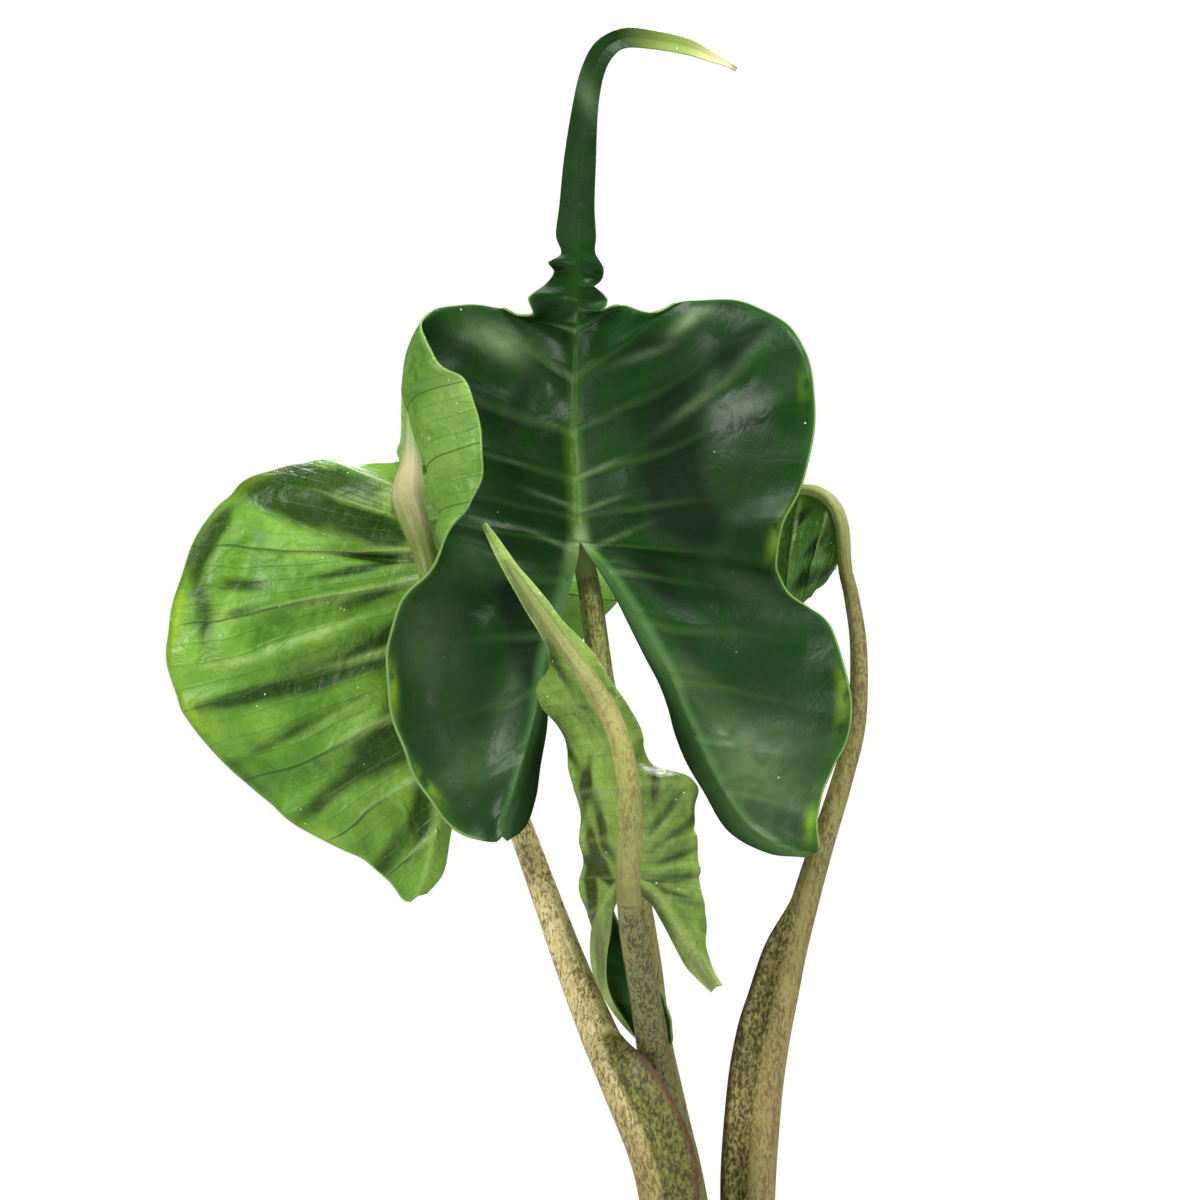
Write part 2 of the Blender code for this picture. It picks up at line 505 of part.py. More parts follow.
def blade_sheet(tail, body, left_lobe, right_lobe, towards_upper):
    """The blade as one sheet of triangles. Each point keeps its share of the way out, and its row."""
    bm = bmesh.new()
    share = bm.verts.layers.float.new("share")
    row_number = bm.verts.layers.float.new("row")

    def point(co, v, number):
        vert = bm.verts.new(co)
        vert[share] = v
        vert[row_number] = number
        return vert

    def half(rib, end, shares, number):
        return [point(co, v, number) for co, v in zip(across(rib, end, shares), shares)]

    def fill(rows):
        for one, two in zip(rows, rows[1:]):
            for i in range(len(one) - 1):
                bm.faces.new((one[i], one[i + 1], two[i + 1]))
                bm.faces.new((one[i], two[i + 1], two[i]))

    number = 0
    left_rows, right_rows = [], []
    for rib, left, right in tail_rows(tail, towards_upper) + body:
        middle = point(rib, 0, number)
        left_rows.append([middle] + half(rib, left, ACROSS, number))
        right_rows.append([middle] + half(rib, right, ACROSS, number))
        number += 1
    junction = left_rows[-1][0]
    for lobe, rows, on_left in ((left_lobe, left_rows, True), (right_lobe, right_rows, False)):
        inner_rows = [[junction] * (len(ACROSS_INNER) + 1)]
        for step, (rib, outer, inner) in enumerate(lobe):
            middle = point(rib, 0, number + step)
            rows.append([middle] + half(rib, outer, ACROSS, number + step))
            inner_rows.append([middle] + half(rib, inner, ACROSS_INNER, number + step))
        for one, two in zip(inner_rows, inner_rows[1:]):
            if not on_left:
                one, two = two, one
            for i in range(len(one) - 1):
                for corners in ((one[i], one[i + 1], two[i + 1]), (one[i], two[i + 1], two[i])):
                    if len(set(corners)) == 3:
                        bm.faces.new(corners)
    fill([row[::-1] for row in left_rows])
    fill(right_rows)
    return bm, share, row_number


def widths(bm, share, row_number):
    """How far each point lies from its row's point on the rib, and the farthest such distance in each row."""
    on_rib = {vert[row_number]: vert.co.copy() for vert in bm.verts if vert[share] == 0}
    reach = [(vert.co - on_rib[vert[row_number]]).length for vert in bm.verts]
    width = {}
    for vert, distance in zip(bm.verts, reach):
        width[vert[row_number]] = max(distance, width.get(vert[row_number], 0))
    return reach, width


def blade(name, tail, body, left_lobe, right_lobe, stalk_top, rib, faces_front, colour):
    """A leaf blade: a puckered sheet, thicker along its ribs, joined to the round midrib on its underside."""
    towards_upper = -1 if faces_front else 1
    bm, share, row_number = blade_sheet(tail, body, left_lobe, right_lobe, towards_upper)
    bm.normal_update()
    if faces_front:
        bmesh.ops.reverse_faces(bm, faces=bm.faces)
        bm.normal_update()
    reach, width = widths(bm, share, row_number)
    first = len(tail) + PLAIN_ROWS_BELOW_TAIL
    for vert in bm.verts:
        if vert[row_number] >= first:
            wave = math.cos(math.pi * vert[row_number]) * math.sin(math.pi * min(vert[share] * 1.1, 1.0))
            room = (width[vert[row_number]] - NO_PUCKER_WIDTH) / FULL_PUCKER_WIDTH
            vert.co += vert.normal * PUCKER * wave * min(max(room, 0), 1)
    weights = [
        max(1 - distance / RIB_SPREAD, 0) * min(width[vert[row_number]] / FULL_RIB_WIDTH, 1)
        for vert, distance in zip(bm.verts, reach)
    ]
    obj = new_object(name, bm, colour, BLADE_ROUGHNESS)
    group = obj.vertex_groups.new(name="ribs")
    for i, weight in enumerate(weights):
        group.add([i], weight, "REPLACE")
    thick = obj.modifiers.new("thickness", "SOLIDIFY")
    thick.thickness = RIB_THICKNESS * MM
    thick.offset = -1
    thick.vertex_group = "ribs"
    thick.thickness_vertex_group = BLADE_THICKNESS / RIB_THICKNESS

    x, y, z, radius, _ = stalk_top
    round_rib = tube([(x, y, z + GAP, radius)] + rib, RIB_SIDES)
    midrib = new_object(name + "_midrib", round_rib, colour, BLADE_ROUGHNESS)
    midrib.hide_render = True
    midrib.display_type = "WIRE"
    join = obj.modifiers.new("midrib", "BOOLEAN")
    join.operation = "UNION"
    # The exact solver loses one of the curled blades, so all of them use the manifold one.
    join.solver = "MANIFOLD"
    join.object = midrib
    return obj


def pot():
    """The pot: one turned shell with a rolled lip, and drain holes through its floor."""
    slope = (POT_TOP_RADIUS - POT_LIP_WIDTH - POT_FOOT_RADIUS) / POT_HEIGHT
    under_lip = POT_HEIGHT - POT_LIP_DROP
    outer = [
        (0, 0), (POT_FOOT_RADIUS - POT_FOOT_ROUND, 0), (POT_FOOT_RADIUS, POT_FOOT_ROUND),
        (POT_FOOT_RADIUS + slope * under_lip, under_lip),
        (POT_TOP_RADIUS - POT_LIP_ROUND, under_lip), (POT_TOP_RADIUS, under_lip + POT_LIP_ROUND),
        (POT_TOP_RADIUS, POT_HEIGHT - POT_LIP_ROUND), (POT_TOP_RADIUS - POT_LIP_ROUND, POT_HEIGHT),
    ]
    rim = inner_radius(POT_HEIGHT)
    inner = [
        (rim + POT_LIP_ROUND / 2, POT_HEIGHT), (rim, POT_HEIGHT - POT_LIP_ROUND / 2),
        (inner_radius(POT_FLOOR), POT_FLOOR), (0, POT_FLOOR),
    ]
    obj = new_object("pot", turned(outer + inner, POT_SIDES), BLACK, PLASTIC_ROUGHNESS)
    heights = (-DRAIN_OVERCUT, POT_FLOOR / 2, POT_FLOOR + DRAIN_OVERCUT)
    for i in range(DRAIN_HOLES):
        turn = 2 * math.pi * (i + 0.5) / DRAIN_HOLES
        x, y = DRAIN_RING_RADIUS * math.cos(turn), DRAIN_RING_RADIUS * math.sin(turn)
        peg = tube([(x, y, z, DRAIN_HOLE_RADIUS) for z in heights], DRAIN_SIDES)
        cutter = new_object(f"drain_cutter_{i}", peg, BLACK, PLASTIC_ROUGHNESS)
        cutter.hide_render = True
        cutter.display_type = "WIRE"
        cut = obj.modifiers.new(f"drain_{i}", "BOOLEAN")
        cut.operation = "DIFFERENCE"
        cut.object = cutter
    return obj


def inner_radius(z):
    """Radius of the pot's inner wall at a height."""
    foot = POT_FOOT_RADIUS - POT_WALL
    return foot + (POT_TOP_RADIUS - POT_LIP_WIDTH - POT_FOOT_RADIUS) * z / POT_HEIGHT


def crown_radius(z):
    """Radius of the short thick stem at a height: widest at its top, rounded in below the soil."""
    share = (CROWN_TOP - z) / (CROWN_TOP - SOIL_TOP + CROWN_DEPTH)
    return CROWN_RADIUS * (1 - CROWN_NARROWING * share**2)


def crown():
    """The short thick stem that the stalks grow from, with the raised scars of older leaves round it."""
    bottom = SOIL_TOP - CROWN_DEPTH
    profile = [(0, bottom), (crown_radius(bottom), bottom)]
    steps = 2 * CROWN_SCARS
    for i in range(1, steps):
        z = SOIL_TOP + (CROWN_TOP - SOIL_TOP) * i / steps
        profile.append((crown_radius(z) - (CROWN_SCAR_DEPTH if i % 2 else 0), z))
    profile += [
        (CROWN_RADIUS, CROWN_TOP - CROWN_SCAR_DEPTH),
        (CROWN_RADIUS - CROWN_SCAR_DEPTH, CROWN_TOP),
        (0, CROWN_TOP),
    ]
    return new_object("crown", turned(profile, CROWN_SIDES), BARK_BROWN, CROWN_ROUGHNESS)


def soil():
    """The potting mix: a plug with a lumpy top and a plain blind hole that the crown stands in."""
    bm = bmesh.new()
    turn = 2 * math.pi / POT_SIDES
    hole_floor = SOIL_TOP - CROWN_DEPTH - GAP
    hole = crown_radius(hole_floor) + GAP
    hole_top = crown_radius(SOIL_TOP) + GAP
    lumps = np.random.default_rng(SOIL_SEED)

    def circle(radius, z, lump=0.0):
        heights = z + lump * lumps.uniform(-1, 1, POT_SIDES)
        return [
            bm.verts.new((radius * math.cos(i * turn), radius * math.sin(i * turn), heights[i]))
            for i in range(POT_SIDES)
        ]

    floor = POT_FLOOR + GAP
    rim = inner_radius(SOIL_TOP) - GAP
    loops = [circle(inner_radius(floor) - GAP, floor), circle(rim, SOIL_TOP - SOIL_RIM_DROP)]
    for i in range(1, SOIL_RINGS):
        radius = rim + (hole_top + SOIL_HOLE_EDGE - rim) * i / SOIL_RINGS
        loops.append(circle(radius, SOIL_TOP, SOIL_LUMP))
    loops += [circle(hole_top, SOIL_TOP - SOIL_HOLE_EDGE), circle(hole, hole_floor)]
    for low, high in zip(loops, loops[1:]):
        for i in range(POT_SIDES):
            after = (i + 1) % POT_SIDES
            bm.faces.new((low[i], low[after], high[after]))
            bm.faces.new((low[i], high[after], high[i]))
    bm.faces.new(loops[0][::-1])
    bm.faces.new(loops[-1])
    bmesh.ops.recalc_face_normals(bm, faces=bm.faces)
    return new_object("soil", bm, DARK_EARTH, SOIL_ROUGHNESS)


def main():
    """Builds every piece of the plant in an empty scene."""
    for old in list(bpy.data.objects):
        bpy.data.objects.remove(old)
    pot()
    soil()
    crown()
    stalk("leaf_front_stalk", FRONT_STALK, WING_SIDE_RIGHT, (0.30, 0.27, 0.12))
    stalk("leaf_left_stalk", LEFT_STALK, WING_SIDE_FRONT_RIGHT, (0.48, 0.38, 0.20))
    stalk("leaf_rolled_stalk", ROLLED_STALK, WING_SIDE_RIGHT, (0.26, 0.24, 0.13))
    stalk("leaf_right_stalk", RIGHT_STALK, WING_SIDE_LEFT, (0.38, 0.34, 0.17))
    blade(
        "leaf_front_blade", FRONT_TAIL, FRONT_ROWS, FRONT_LEFT_LOBE, FRONT_RIGHT_LOBE,
        FRONT_STALK[-1], FRONT_RIB, True, (0.02, 0.11, 0.02),
    )
    blade(
        "leaf_left_blade", LEFT_TAIL, LEFT_ROWS, LEFT_LEFT_LOBE, LEFT_RIGHT_LOBE,
        LEFT_STALK[-1], LEFT_RIB, False, (0.16, 0.36, 0.07),
    )
    blade(
        "leaf_rolled_blade", ROLLED_TAIL, ROLLED_ROWS, ROLLED_LEFT_LOBE, ROLLED_RIGHT_LOBE,
        ROLLED_STALK[-1], ROLLED_RIB, False, (0.20, 0.36, 0.09),
    )
    blade(
        "leaf_right_blade", RIGHT_TAIL, RIGHT_ROWS, [], [],
        RIGHT_STALK[-1], RIGHT_RIB, False, (0.10, 0.28, 0.05),
    )


main()
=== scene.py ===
"""The looks of a giant taro with four stingray-shaped leaves in a nursery pot.

Sizes and lists of points are in millimetres, as in the part's source. The scene itself is in metres.
"""

import math

import bmesh
import bpy
import numpy as np
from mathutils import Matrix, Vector


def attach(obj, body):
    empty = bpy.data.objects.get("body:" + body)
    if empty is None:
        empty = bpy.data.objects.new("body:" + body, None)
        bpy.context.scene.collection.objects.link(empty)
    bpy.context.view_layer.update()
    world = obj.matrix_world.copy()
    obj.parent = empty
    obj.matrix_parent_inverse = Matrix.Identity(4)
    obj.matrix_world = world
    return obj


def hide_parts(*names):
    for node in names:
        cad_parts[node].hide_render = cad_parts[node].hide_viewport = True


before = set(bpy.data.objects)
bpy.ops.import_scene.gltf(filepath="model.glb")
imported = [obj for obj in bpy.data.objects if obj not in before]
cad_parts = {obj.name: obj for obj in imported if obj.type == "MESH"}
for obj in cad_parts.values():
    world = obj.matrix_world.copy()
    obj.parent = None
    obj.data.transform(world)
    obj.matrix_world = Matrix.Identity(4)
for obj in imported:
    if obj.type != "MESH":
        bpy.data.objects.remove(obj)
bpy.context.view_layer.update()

MM = 0.001
GAP = 0.3
POT_HEIGHT = 150.0
POT_TOP_RADIUS = 85.0
POT_FOOT_RADIUS = 62.0
POT_WALL = 2.4
POT_FLOOR = 3.0
POT_LIP_WIDTH = 4.0
POT_LIP_DROP = 16.0
POT_PLAIN_ENDS = 12
POT_OUTER_ROWS = 12
POT_INNER_ROWS = 8
POT_RINGS_BELOW_LIP = (8, 4)
POT_CORNER_WIDTH = 0.5
POT_CORNER_HEIGHT = 1.0

# Bends of the pot's profile. In a ring a point is (height, rise), elsewhere (outwards, height).
POT_FOOT_BEND = ((-3, 0), (-1, 0.8), (0, 3))
POT_RING_BEND = ((-1.2, 0), (-0.5, 0.35), (0.5, 0.35), (1.2, 0))
POT_LIP_UNDER_BEND = ((-1, 0.4), (-0.3, 0.9), (0, 2))
POT_LIP_TOP_BEND = ((0, -1.6), (-0.4, -0.5), (-1.5, 0))
POT_RIM_BEND = ((0.8, 0), (0.2, -0.3), (0, -1))

DRAIN_HOLES = 6
DRAIN_HOLE_RADIUS = 5.0
DRAIN_RING_RADIUS = 42.0
DRAIN_OVERCUT = 2.0
DRAIN_SIDES = 32
SOIL_TOP = 135.0
CROWN_TOP = 157.8
CROWN_RADIUS = 26.5
CROWN_DEPTH = 34.0
CROWN_NARROWING = 0.42
CROWN_SCARS = 4
CROWN_SCAR_DEPTH = 1.1
CROWN_EDGE = 1.2
CROWN_ROWS = 40
CROWN_SIDES = 128
CROWN_WOBBLE = 0.35
CROWN_INSET = 0.4
HUSKS = 11
HUSK_ROWS = 22
HUSK_COLUMNS = 27
HUSK_THICKNESS = 0.5
HUSK_BOTTOMS = (138, 146)
HUSK_TOPS = (156, 169)
HUSK_HALF_TURNS = (0.4, 0.56)
HUSK_LEANS = (1, 6)
HUSK_TEARS = (0, 0.35)
HUSK_LAYER = 0.9
HUSK_CREASE = 0.35
HUSK_SEED = 23

SOIL_SEED = 11
PHASES = (0, 6.28)
SOIL_WAVES = 26
SOIL_WAVE_HEIGHT = 0.33
SOIL_PACES = (0.03, 0.5)
SOIL_DROP = 0.8
SOIL_RINGS = 34
SOIL_SIDES = 160
BARK_CRUMBS = 420
BARK_SIZES = (0.9, 2.6)
WHITE_CRUMBS = 90
WHITE_SIZES = (0.7, 1.7)
CRUMB_MARGIN = 4
CRUMB_LUMPS = (0.75, 1.15)
CRUMB_WIDTHS = (0.5, 0.9)
CRUMB_HEIGHTS = (0.35, 0.7)
CRUMB_RISES = (-0.15, 0.15)

BLADE_THICKNESS = 0.9
RIB_THICKNESS = 2.4
RIB_SPREAD = 5.0
TAIL_RIB_ROWS = 14
LOBE_RIB_ROWS = 5
NO_PUCKER_WIDTH = 10.0
FULL_PUCKER_WIDTH = 30.0
RIB_OVERLAP = 0.5
RIB_TIP_RADIUS = 0.35
RIB_TIP_REACH = 0.6
TAIL_CHANNEL = 0.3
CURVE_PULL = 1.5
VEIN_SPACING = 2
QUILT_HEIGHT = 1.3
WAVES = 5
WAVE_HEIGHT = 0.28
RIPPLE_HEIGHT = 0.5
RIPPLE_PACE = 4.3
MERGE_DISTANCE = 0.02
LOWEST_LENGTH = 1e-6

ROW_STEPS = 10
ACROSS = np.linspace(0, 1, 37)
ACROSS_INNER = np.linspace(0, 1, 9)
STALK_STEPS = 8
STALK_SIDES = 56
FULL_WING = 4.0
WING_HALF_TURN = 0.23
LEFT_WING_TURN = -2 * math.pi / 14
RIGHT_WING_TURN = math.pi
# Each set of flutes has a count round the stalk, a start in radians and a share of the radius.
FLUTES = ((7, 0.6, 0.02), (13, 2, 0.012))
FLUTE_INSET = 0.02
FRONT_RIB_SINK = 2.2
LEFT_RIB_SINK = -2.5
TURNED_SIDES = 144
SHARP_ON_BARS = math.radians(60)
SHARP_ON_TURNED = math.radians(35)

# Colours are linear red, green and blue. UPPER_RIB_LINE holds the two stops of a ramp.
FLECK = (0.13, 0.082, 0.033)
DARK_FLECK = (0.05, 0.035, 0.018)
SHEATH_EDGE = (0.07, 0.022, 0.014)
UPPER_LOBE = (0.010, 0.042, 0.009)
# Painted shade for the hollows of the upper face.
UPPER_HOLLOW_SHADE = (0.002, 0.013, 0.0015)
UPPER_LOBE_GLOW = (0.06, 0.145, 0.04)
UPPER_RIB_LINE = [(0.40, (0.07, 0.17, 0.03)), (0.62, (0.22, 0.30, 0.11))]
# Painted sheen on the upper face, also the colour of its pale vein marks.
UPPER_SHEEN_AND_PALE = (0.25, 0.36, 0.17)
UPPER_LIME = (0.20, 0.38, 0.02)
UPPER_MARGIN = (0.03, 0.115, 0.016)
UPPER_MARGIN_LINE = (0.20, 0.33, 0.09)
UPPER_SPECK = (0.50, 0.62, 0.42)
TAIL_YELLOW = (0.30, 0.40, 0.09)
TAIL_CREAM = (0.75, 0.70, 0.36)
TAIL_BROWN = (0.46, 0.30, 0.14)
UNDER_LIME = (0.26, 0.43, 0.01)
UNDER_MARGIN_LINE = (0.28, 0.42, 0.12)
UNDER_SPECK = (0.55, 0.66, 0.40)

# The studio is in metres and watts, its lens in millimetres. A light has its place, its width and its power.
FLOOR_RADIUS = 1.5
FLOOR_FADE = 0.45
FLOOR_DEPTH = 0.02
FLOOR_SIDES = 128
VIEW_PLACE = (-0.045, -2.2, 0.471)
VIEW_LENS = 165.0
VIEW_SENSOR = 36
LIGHT_TARGET = (-0.04, 0, 0.45)
LIGHTS = {
    "key": ((-1.5, -1.3, 1.5), 0.8, 46),
    "top": ((0.5, -0.5, 2.2), 0.9, 44),
    "fill": ((1.7, -1.3, 0.5), 0.9, 20),
    "back": ((0.2, 2.0, 1.4), 1.2, 34),
}
SURROUND_LIGHT = 0.16
SURROUND_SEEN = 1.0

# A tail row is (x, y, z, half width). A row of a blade or a lobe follows one vein: a point on the rib, then
# the ends at its two margins, left and right on a blade and outer and inner on a lobe. An end is (x, y, z,
# bulge near the rib, bulge near the margin, sideways bend). A stalk row is (x, y, z, radius, reach of the
# wing), and a rib row is (x, y, z, radius).
FRONT_TAIL = [
    (9, -16, 681.9, 0.8),
    (5.1, -15, 684.3, 1),
    (-0.5, -14, 686.8, 1.8),
    (-9.2, -12, 690.8, 2.9),
    (-21.1, -9, 693.7, 3.4),
    (-35, -6, 695.2, 3.8),
    (-43.4, -4, 690.6, 4.3),
    (-48.2, -2, 681.2, 4.5),
    (-51, 0, 667, 5),
    (-53, 2, 647.2, 6.2),
    (-54.2, 3, 629.2, 6.8),
    (-54.6, 4, 616.9, 7.8),
]
FRONT_ROWS = [
    ((-54.5, 4, 610.5), (-60.5, 3, 610, 0, 0, 0), (-47, 3, 610.5, 0, 0, 0)),
    ((-54.5, 4, 606), (-65.5, 0, 606, 0, 0, 0), (-44, 2, 604.5, 0, 0, 0)),
    ((-54.5, 4, 602), (-63.5, 5, 602.5, 0, 0, 0), (-44, 6, 600, 0, 0, 0)),
    ((-54.5, 4, 597), (-67, 4, 597.5, 0, 0, 0), (-47.5, 2, 596.5, 0, 0, 0)),
    ((-54.5, 4, 591.5), (-73.5, 0, 592, 0, 0, 0), (-42, 5, 591.5, 0, 0, 0)),
    ((-54.5, 4, 586), (-72, 6, 585.5, 1, 1, 0), (-44, 1, 586.5, 0, 0, 0)),
    ((-54.5, 3, 579), (-78, 12, 585.5, 2, 2, 0), (-36, 8, 589.5, 1, 1, 0)),
    ((-55, 3, 570.5), (-87.5, 14, 589, 5, 3, 0), (-24, 6, 586.5, 4, 2, 0)),
    ((-55, 2, 560), (-100.5, 8, 589.5, 8, 6, 0), (-9, 14, 592, 7, -6, 0)),
    ((-55.5, 1, 548.5), (-112, -6, 586.5, 10, 14, 0), (11.5, 16, 591.5, 9, -10, 0)),
    ((-55.5, 1, 538), (-115, -24, 578.5, 10, 16, -40), (28, 8, 583.5, 11, -8, 0)),
    ((-55, 0, 528), (-108.5, -34, 565, 12, 14, -56), (37.5, -2, 570, 13, -2, 0)),
    ((-54.5, 0, 519), (-98.5, -38, 558, 12, 12, -66), (40.5, -8, 554, 14, 0, 0)),
    ((-54, 0, 511), (-93.5, -40, 546.5, 12, 10, -66), (40, -12, 535.5, 14, 2, 0)),
    ((-54, 0, 504), (-91, -42, 531.5, 12, 8, -61), (35, -14, 516.5, 14, 4, 0)),
    ((-53.5, 0, 498.5), (-91.5, -42, 519, 12, 8, -62), (27.5, -14, 500.5, 12, 4, 0)),
    ((-53, 0, 494), (-95.5, -40, 509, 12, 8, -47), (25.5, -10, 487, 10, 3, 0)),
]
FRONT_LEFT_LOBE = [
    ((-55, -1, 488), (-103, -38, 499.5, 12, 8, -36), (-54, -1, 487, 0, 0, 0)),
    ((-57.5, -3, 479.5), (-112.5, -36, 482, 12, 10, -3), (-56, -3, 479, 0, 0, 0)),
    ((-60, -6, 470), (-124, -33, 468, 12, 12, 0), (-58.5, -6, 469.5, 0, 0, 0)),
    ((-63.5, -9, 459), (-128.5, -30, 451.5, 10, 14, 0), (-61.5, -9, 459, 0, 0, 0)),
    ((-66.5, -11, 449), (-128, -28, 433.5, 9, 14, 0), (-65, -10, 448.5, 0, 0, 0)),
    ((-68.5, -13, 437), (-123.5, -26, 415.5, 8, 12, 0), (-65.5, -9, 435, 0, 0, 0)),
    ((-71, -15, 424), (-118.5, -24, 401.5, 7, 10, 0), (-66, -9, 420.5, 1, 0, 0)),
    ((-74.5, -16, 410.5), (-111, -23, 389.5, 6, 8, 0), (-68.5, -10, 405.5, 1, 0, 0)),
    ((-78.5, -17, 397.5), (-102, -22, 379.5, 4, 6, 0), (-70.5, -12, 392, 1, 0, 0)),
    ((-82.5, -18, 387), (-92.5, -21, 376.5, 2, 3, 0), (-74.5, -15, 381, 1, 0, 0)),
    ((-84, -19, 377.5), (-86, -19, 375, 0, 0, 0), (-81.5, -19, 375.5, 0, 0, 0)),
]
FRONT_RIGHT_LOBE = [
    ((-49, 0, 491), (27, -6, 479, 10, 3, 0), (-50.5, 0, 490, 0, 0, 0)),
    ((-42.5, 0, 483.5), (33.5, -4, 471, 10, 3, 0), (-45, 0, 482, 0, 0, 0)),
    ((-35.5, -1, 473.5), (45, -6, 463.5, 9, 3, 0), (-38.5, 0, 471, 0, 0, 0)),
    ((-28.5, -2, 462), (50, -10, 452.5, 9, 3, 0), (-32.5, -1, 459, 0, 0, 0)),
    ((-22, -3, 451), (54, -13, 437, 8, 3, 0), (-27, -2, 448, 0, 0, 0)),
    ((-16.5, -5, 440), (55, -15, 424.5, 8, 2, 0), (-21.5, -2, 437.5, 1, 0, 0)),
    ((-12, -7, 428.5), (52.5, -16, 413.5, 7, 2, 0), (-18, -3, 428, 1, 0, 0)),
    ((-7, -9, 417.5), (47.5, -17, 404, 6, 2, 0), (-15, -5, 417, 1, 0, 0)),
    ((-2, -11, 406.5), (43.5, -18, 394.5, 5, 2, 0), (-10.5, -7, 406, 1, 0, 0)),
    ((4.5, -13, 394.5), (41.5, -19, 385.5, 4, 1, 0), (-4, -10, 395, 1, 0, 0)),
    ((13.5, -15, 382), (41.5, -20, 377.5, 3, 1, 0), (6, -13, 379, 1, 0, 0)),
    ((26.5, -18, 373.5), (42, -20, 372.5, 0, 0, 0), (21.5, -17, 370.5, 0, 0, 0)),
    ((37.5, -20, 370.5), (40, -20, 370.5, 0, 0, 0), (36, -20, 369, 0, 0, 0)),
]
LEFT_TAIL = [
    (-90.2, 58, 579.4, 0.9),
    (-98.4, 60, 580.3, 1.6),
    (-108.3, 62, 578.8, 2.4),
    (-116.2, 63, 573, 2.8),
    (-121.2, 64, 563.6, 3),
    (-123.2, 64, 553.3, 3.2),
    (-122.8, 64, 543.4, 3.8),
    (-122.4, 63, 536.8, 4.6),
]
LEFT_ROWS = [
    ((-122.5, 62, 532), (-128.5, 63, 532, 0, 0, 0), (-116, 63, 532, 0, 0, 0)),
    ((-122.5, 60, 527.5), (-127.5, 62, 527.5, 0, 0, 0), (-115, 63, 529.5, 0, 0, 0)),
    ((-123, 58, 523.5), (-133, 61, 527, 0, 0, 0), (-107.5, 67, 531, 0, 0, 0)),
    ((-124, 55, 518.5), (-147, 66, 526, -4, -6, 0), (-95.5, 72, 533, 2, 2, 0)),
    ((-123, 51, 513), (-161.5, 68, 528, -8, -12, 0), (-80, 76, 534, 3, 3, 0)),
    ((-122, 47, 507.5), (-173.5, 66, 524.5, -10, -12, 0), (-61.5, 78, 530.5, 3, 3, 0)),
    ((-120, 42, 501.5), (-188, 64, 520.5, -8, -12, 0), (-46.5, 78, 520.5, 3, 3, 0)),
    ((-118, 38, 496), (-202, 60, 509, -4, -10, 0), (-37.5, 76, 507.5, 3, 3, 0)),
    ((-116.5, 34, 491), (-212, 56, 492.5, 0, -8, 0), (-33.5, 72, 493.5, 3, 3, 0)),
    ((-115, 31, 486.5), (-218, 52, 474.5, 2, -8, 0), (-34, 68, 481.5, 3, 3, 0)),
]
LEFT_LEFT_LOBE = [
    ((-114, 33, 480.5), (-221, 48, 458, 2, -8, 0), (-113, 33, 480.5, 0, 0, 0)),
    ((-113, 35, 470), (-221, 45, 443, 3, -6, 0), (-111, 36, 470, 0, 0, 0)),
    ((-111.5, 36, 458), (-214.5, 44, 425.5, 3, -6, 0), (-108, 39, 458, 0, 0, 0)),
    ((-111, 36, 445), (-203.5, 44, 410, 4, -5, 0), (-105.5, 40, 444.5, 0, 0, 0)),
    ((-110, 38, 431), (-189.5, 44, 396.5, 4, -4, 0), (-104, 43, 430, 0, 0, 0)),
    ((-110, 40, 417), (-174, 44, 383, 3, -4, 0), (-103.5, 45, 415.5, 0, 0, 0)),
    ((-110, 41, 402.5), (-158.5, 44, 373.5, 3, -3, 0), (-103.5, 46, 401, 0, 0, 0)),
    ((-110, 42, 388), (-143.5, 44, 366, 2, -2, 0), (-104.5, 46, 387, 0, 0, 0)),
    ((-112, 42, 374), (-131.5, 44, 357, 1, -1, 0), (-106.5, 45, 374, 0, 0, 0)),
    ((-115, 42, 360), (-125.5, 43, 349, 0, 0, 0), (-109, 44, 360, 0, 0, 0)),
    ((-119, 42, 350.5), (-122, 43, 348, 0, 0, 0), (-115.5, 43, 351.5, 0, 0, 0)),
]
LEFT_RIGHT_LOBE = [
    ((-107.5, 35, 479), (-38, 64, 470.5, 2, 2, 0), (-109.5, 36, 478.5, 0, 0, 0)),
    ((-101, 39, 471), (-45, 63, 463, 2, 2, 0), (-104, 40, 469.5, 0, 0, 0)),
    ((-95, 43, 462.5), (-53, 63, 453.5, 2, 2, 0), (-99, 44, 459.5, 0, 0, 0)),
    ((-89.5, 48, 453.5), (-60.5, 63, 444.5, 1, 1, 0), (-94, 49, 449.5, 0, 0, 0)),
    ((-85, 53, 444.5), (-67, 64, 435, 1, 1, 0), (-89.5, 54, 440, 0, 0, 0)),
    ((-81.5, 57, 435.5), (-73, 62, 428.5, 0, 0, 0), (-85, 58, 431, 0, 0, 0)),
]
ROLLED_TAIL = [
    (-90.8, -27, 501, 0.9),
    (-87.7, -28, 495.9, 1.6),
    (-83.7, -30, 489.1, 2.3),
    (-79.3, -31, 482, 2.9),
    (-74.5, -33, 475.3, 3.8),
    (-69.4, -35, 467.9, 4.6),
    (-64.3, -37, 460.4, 5),
]
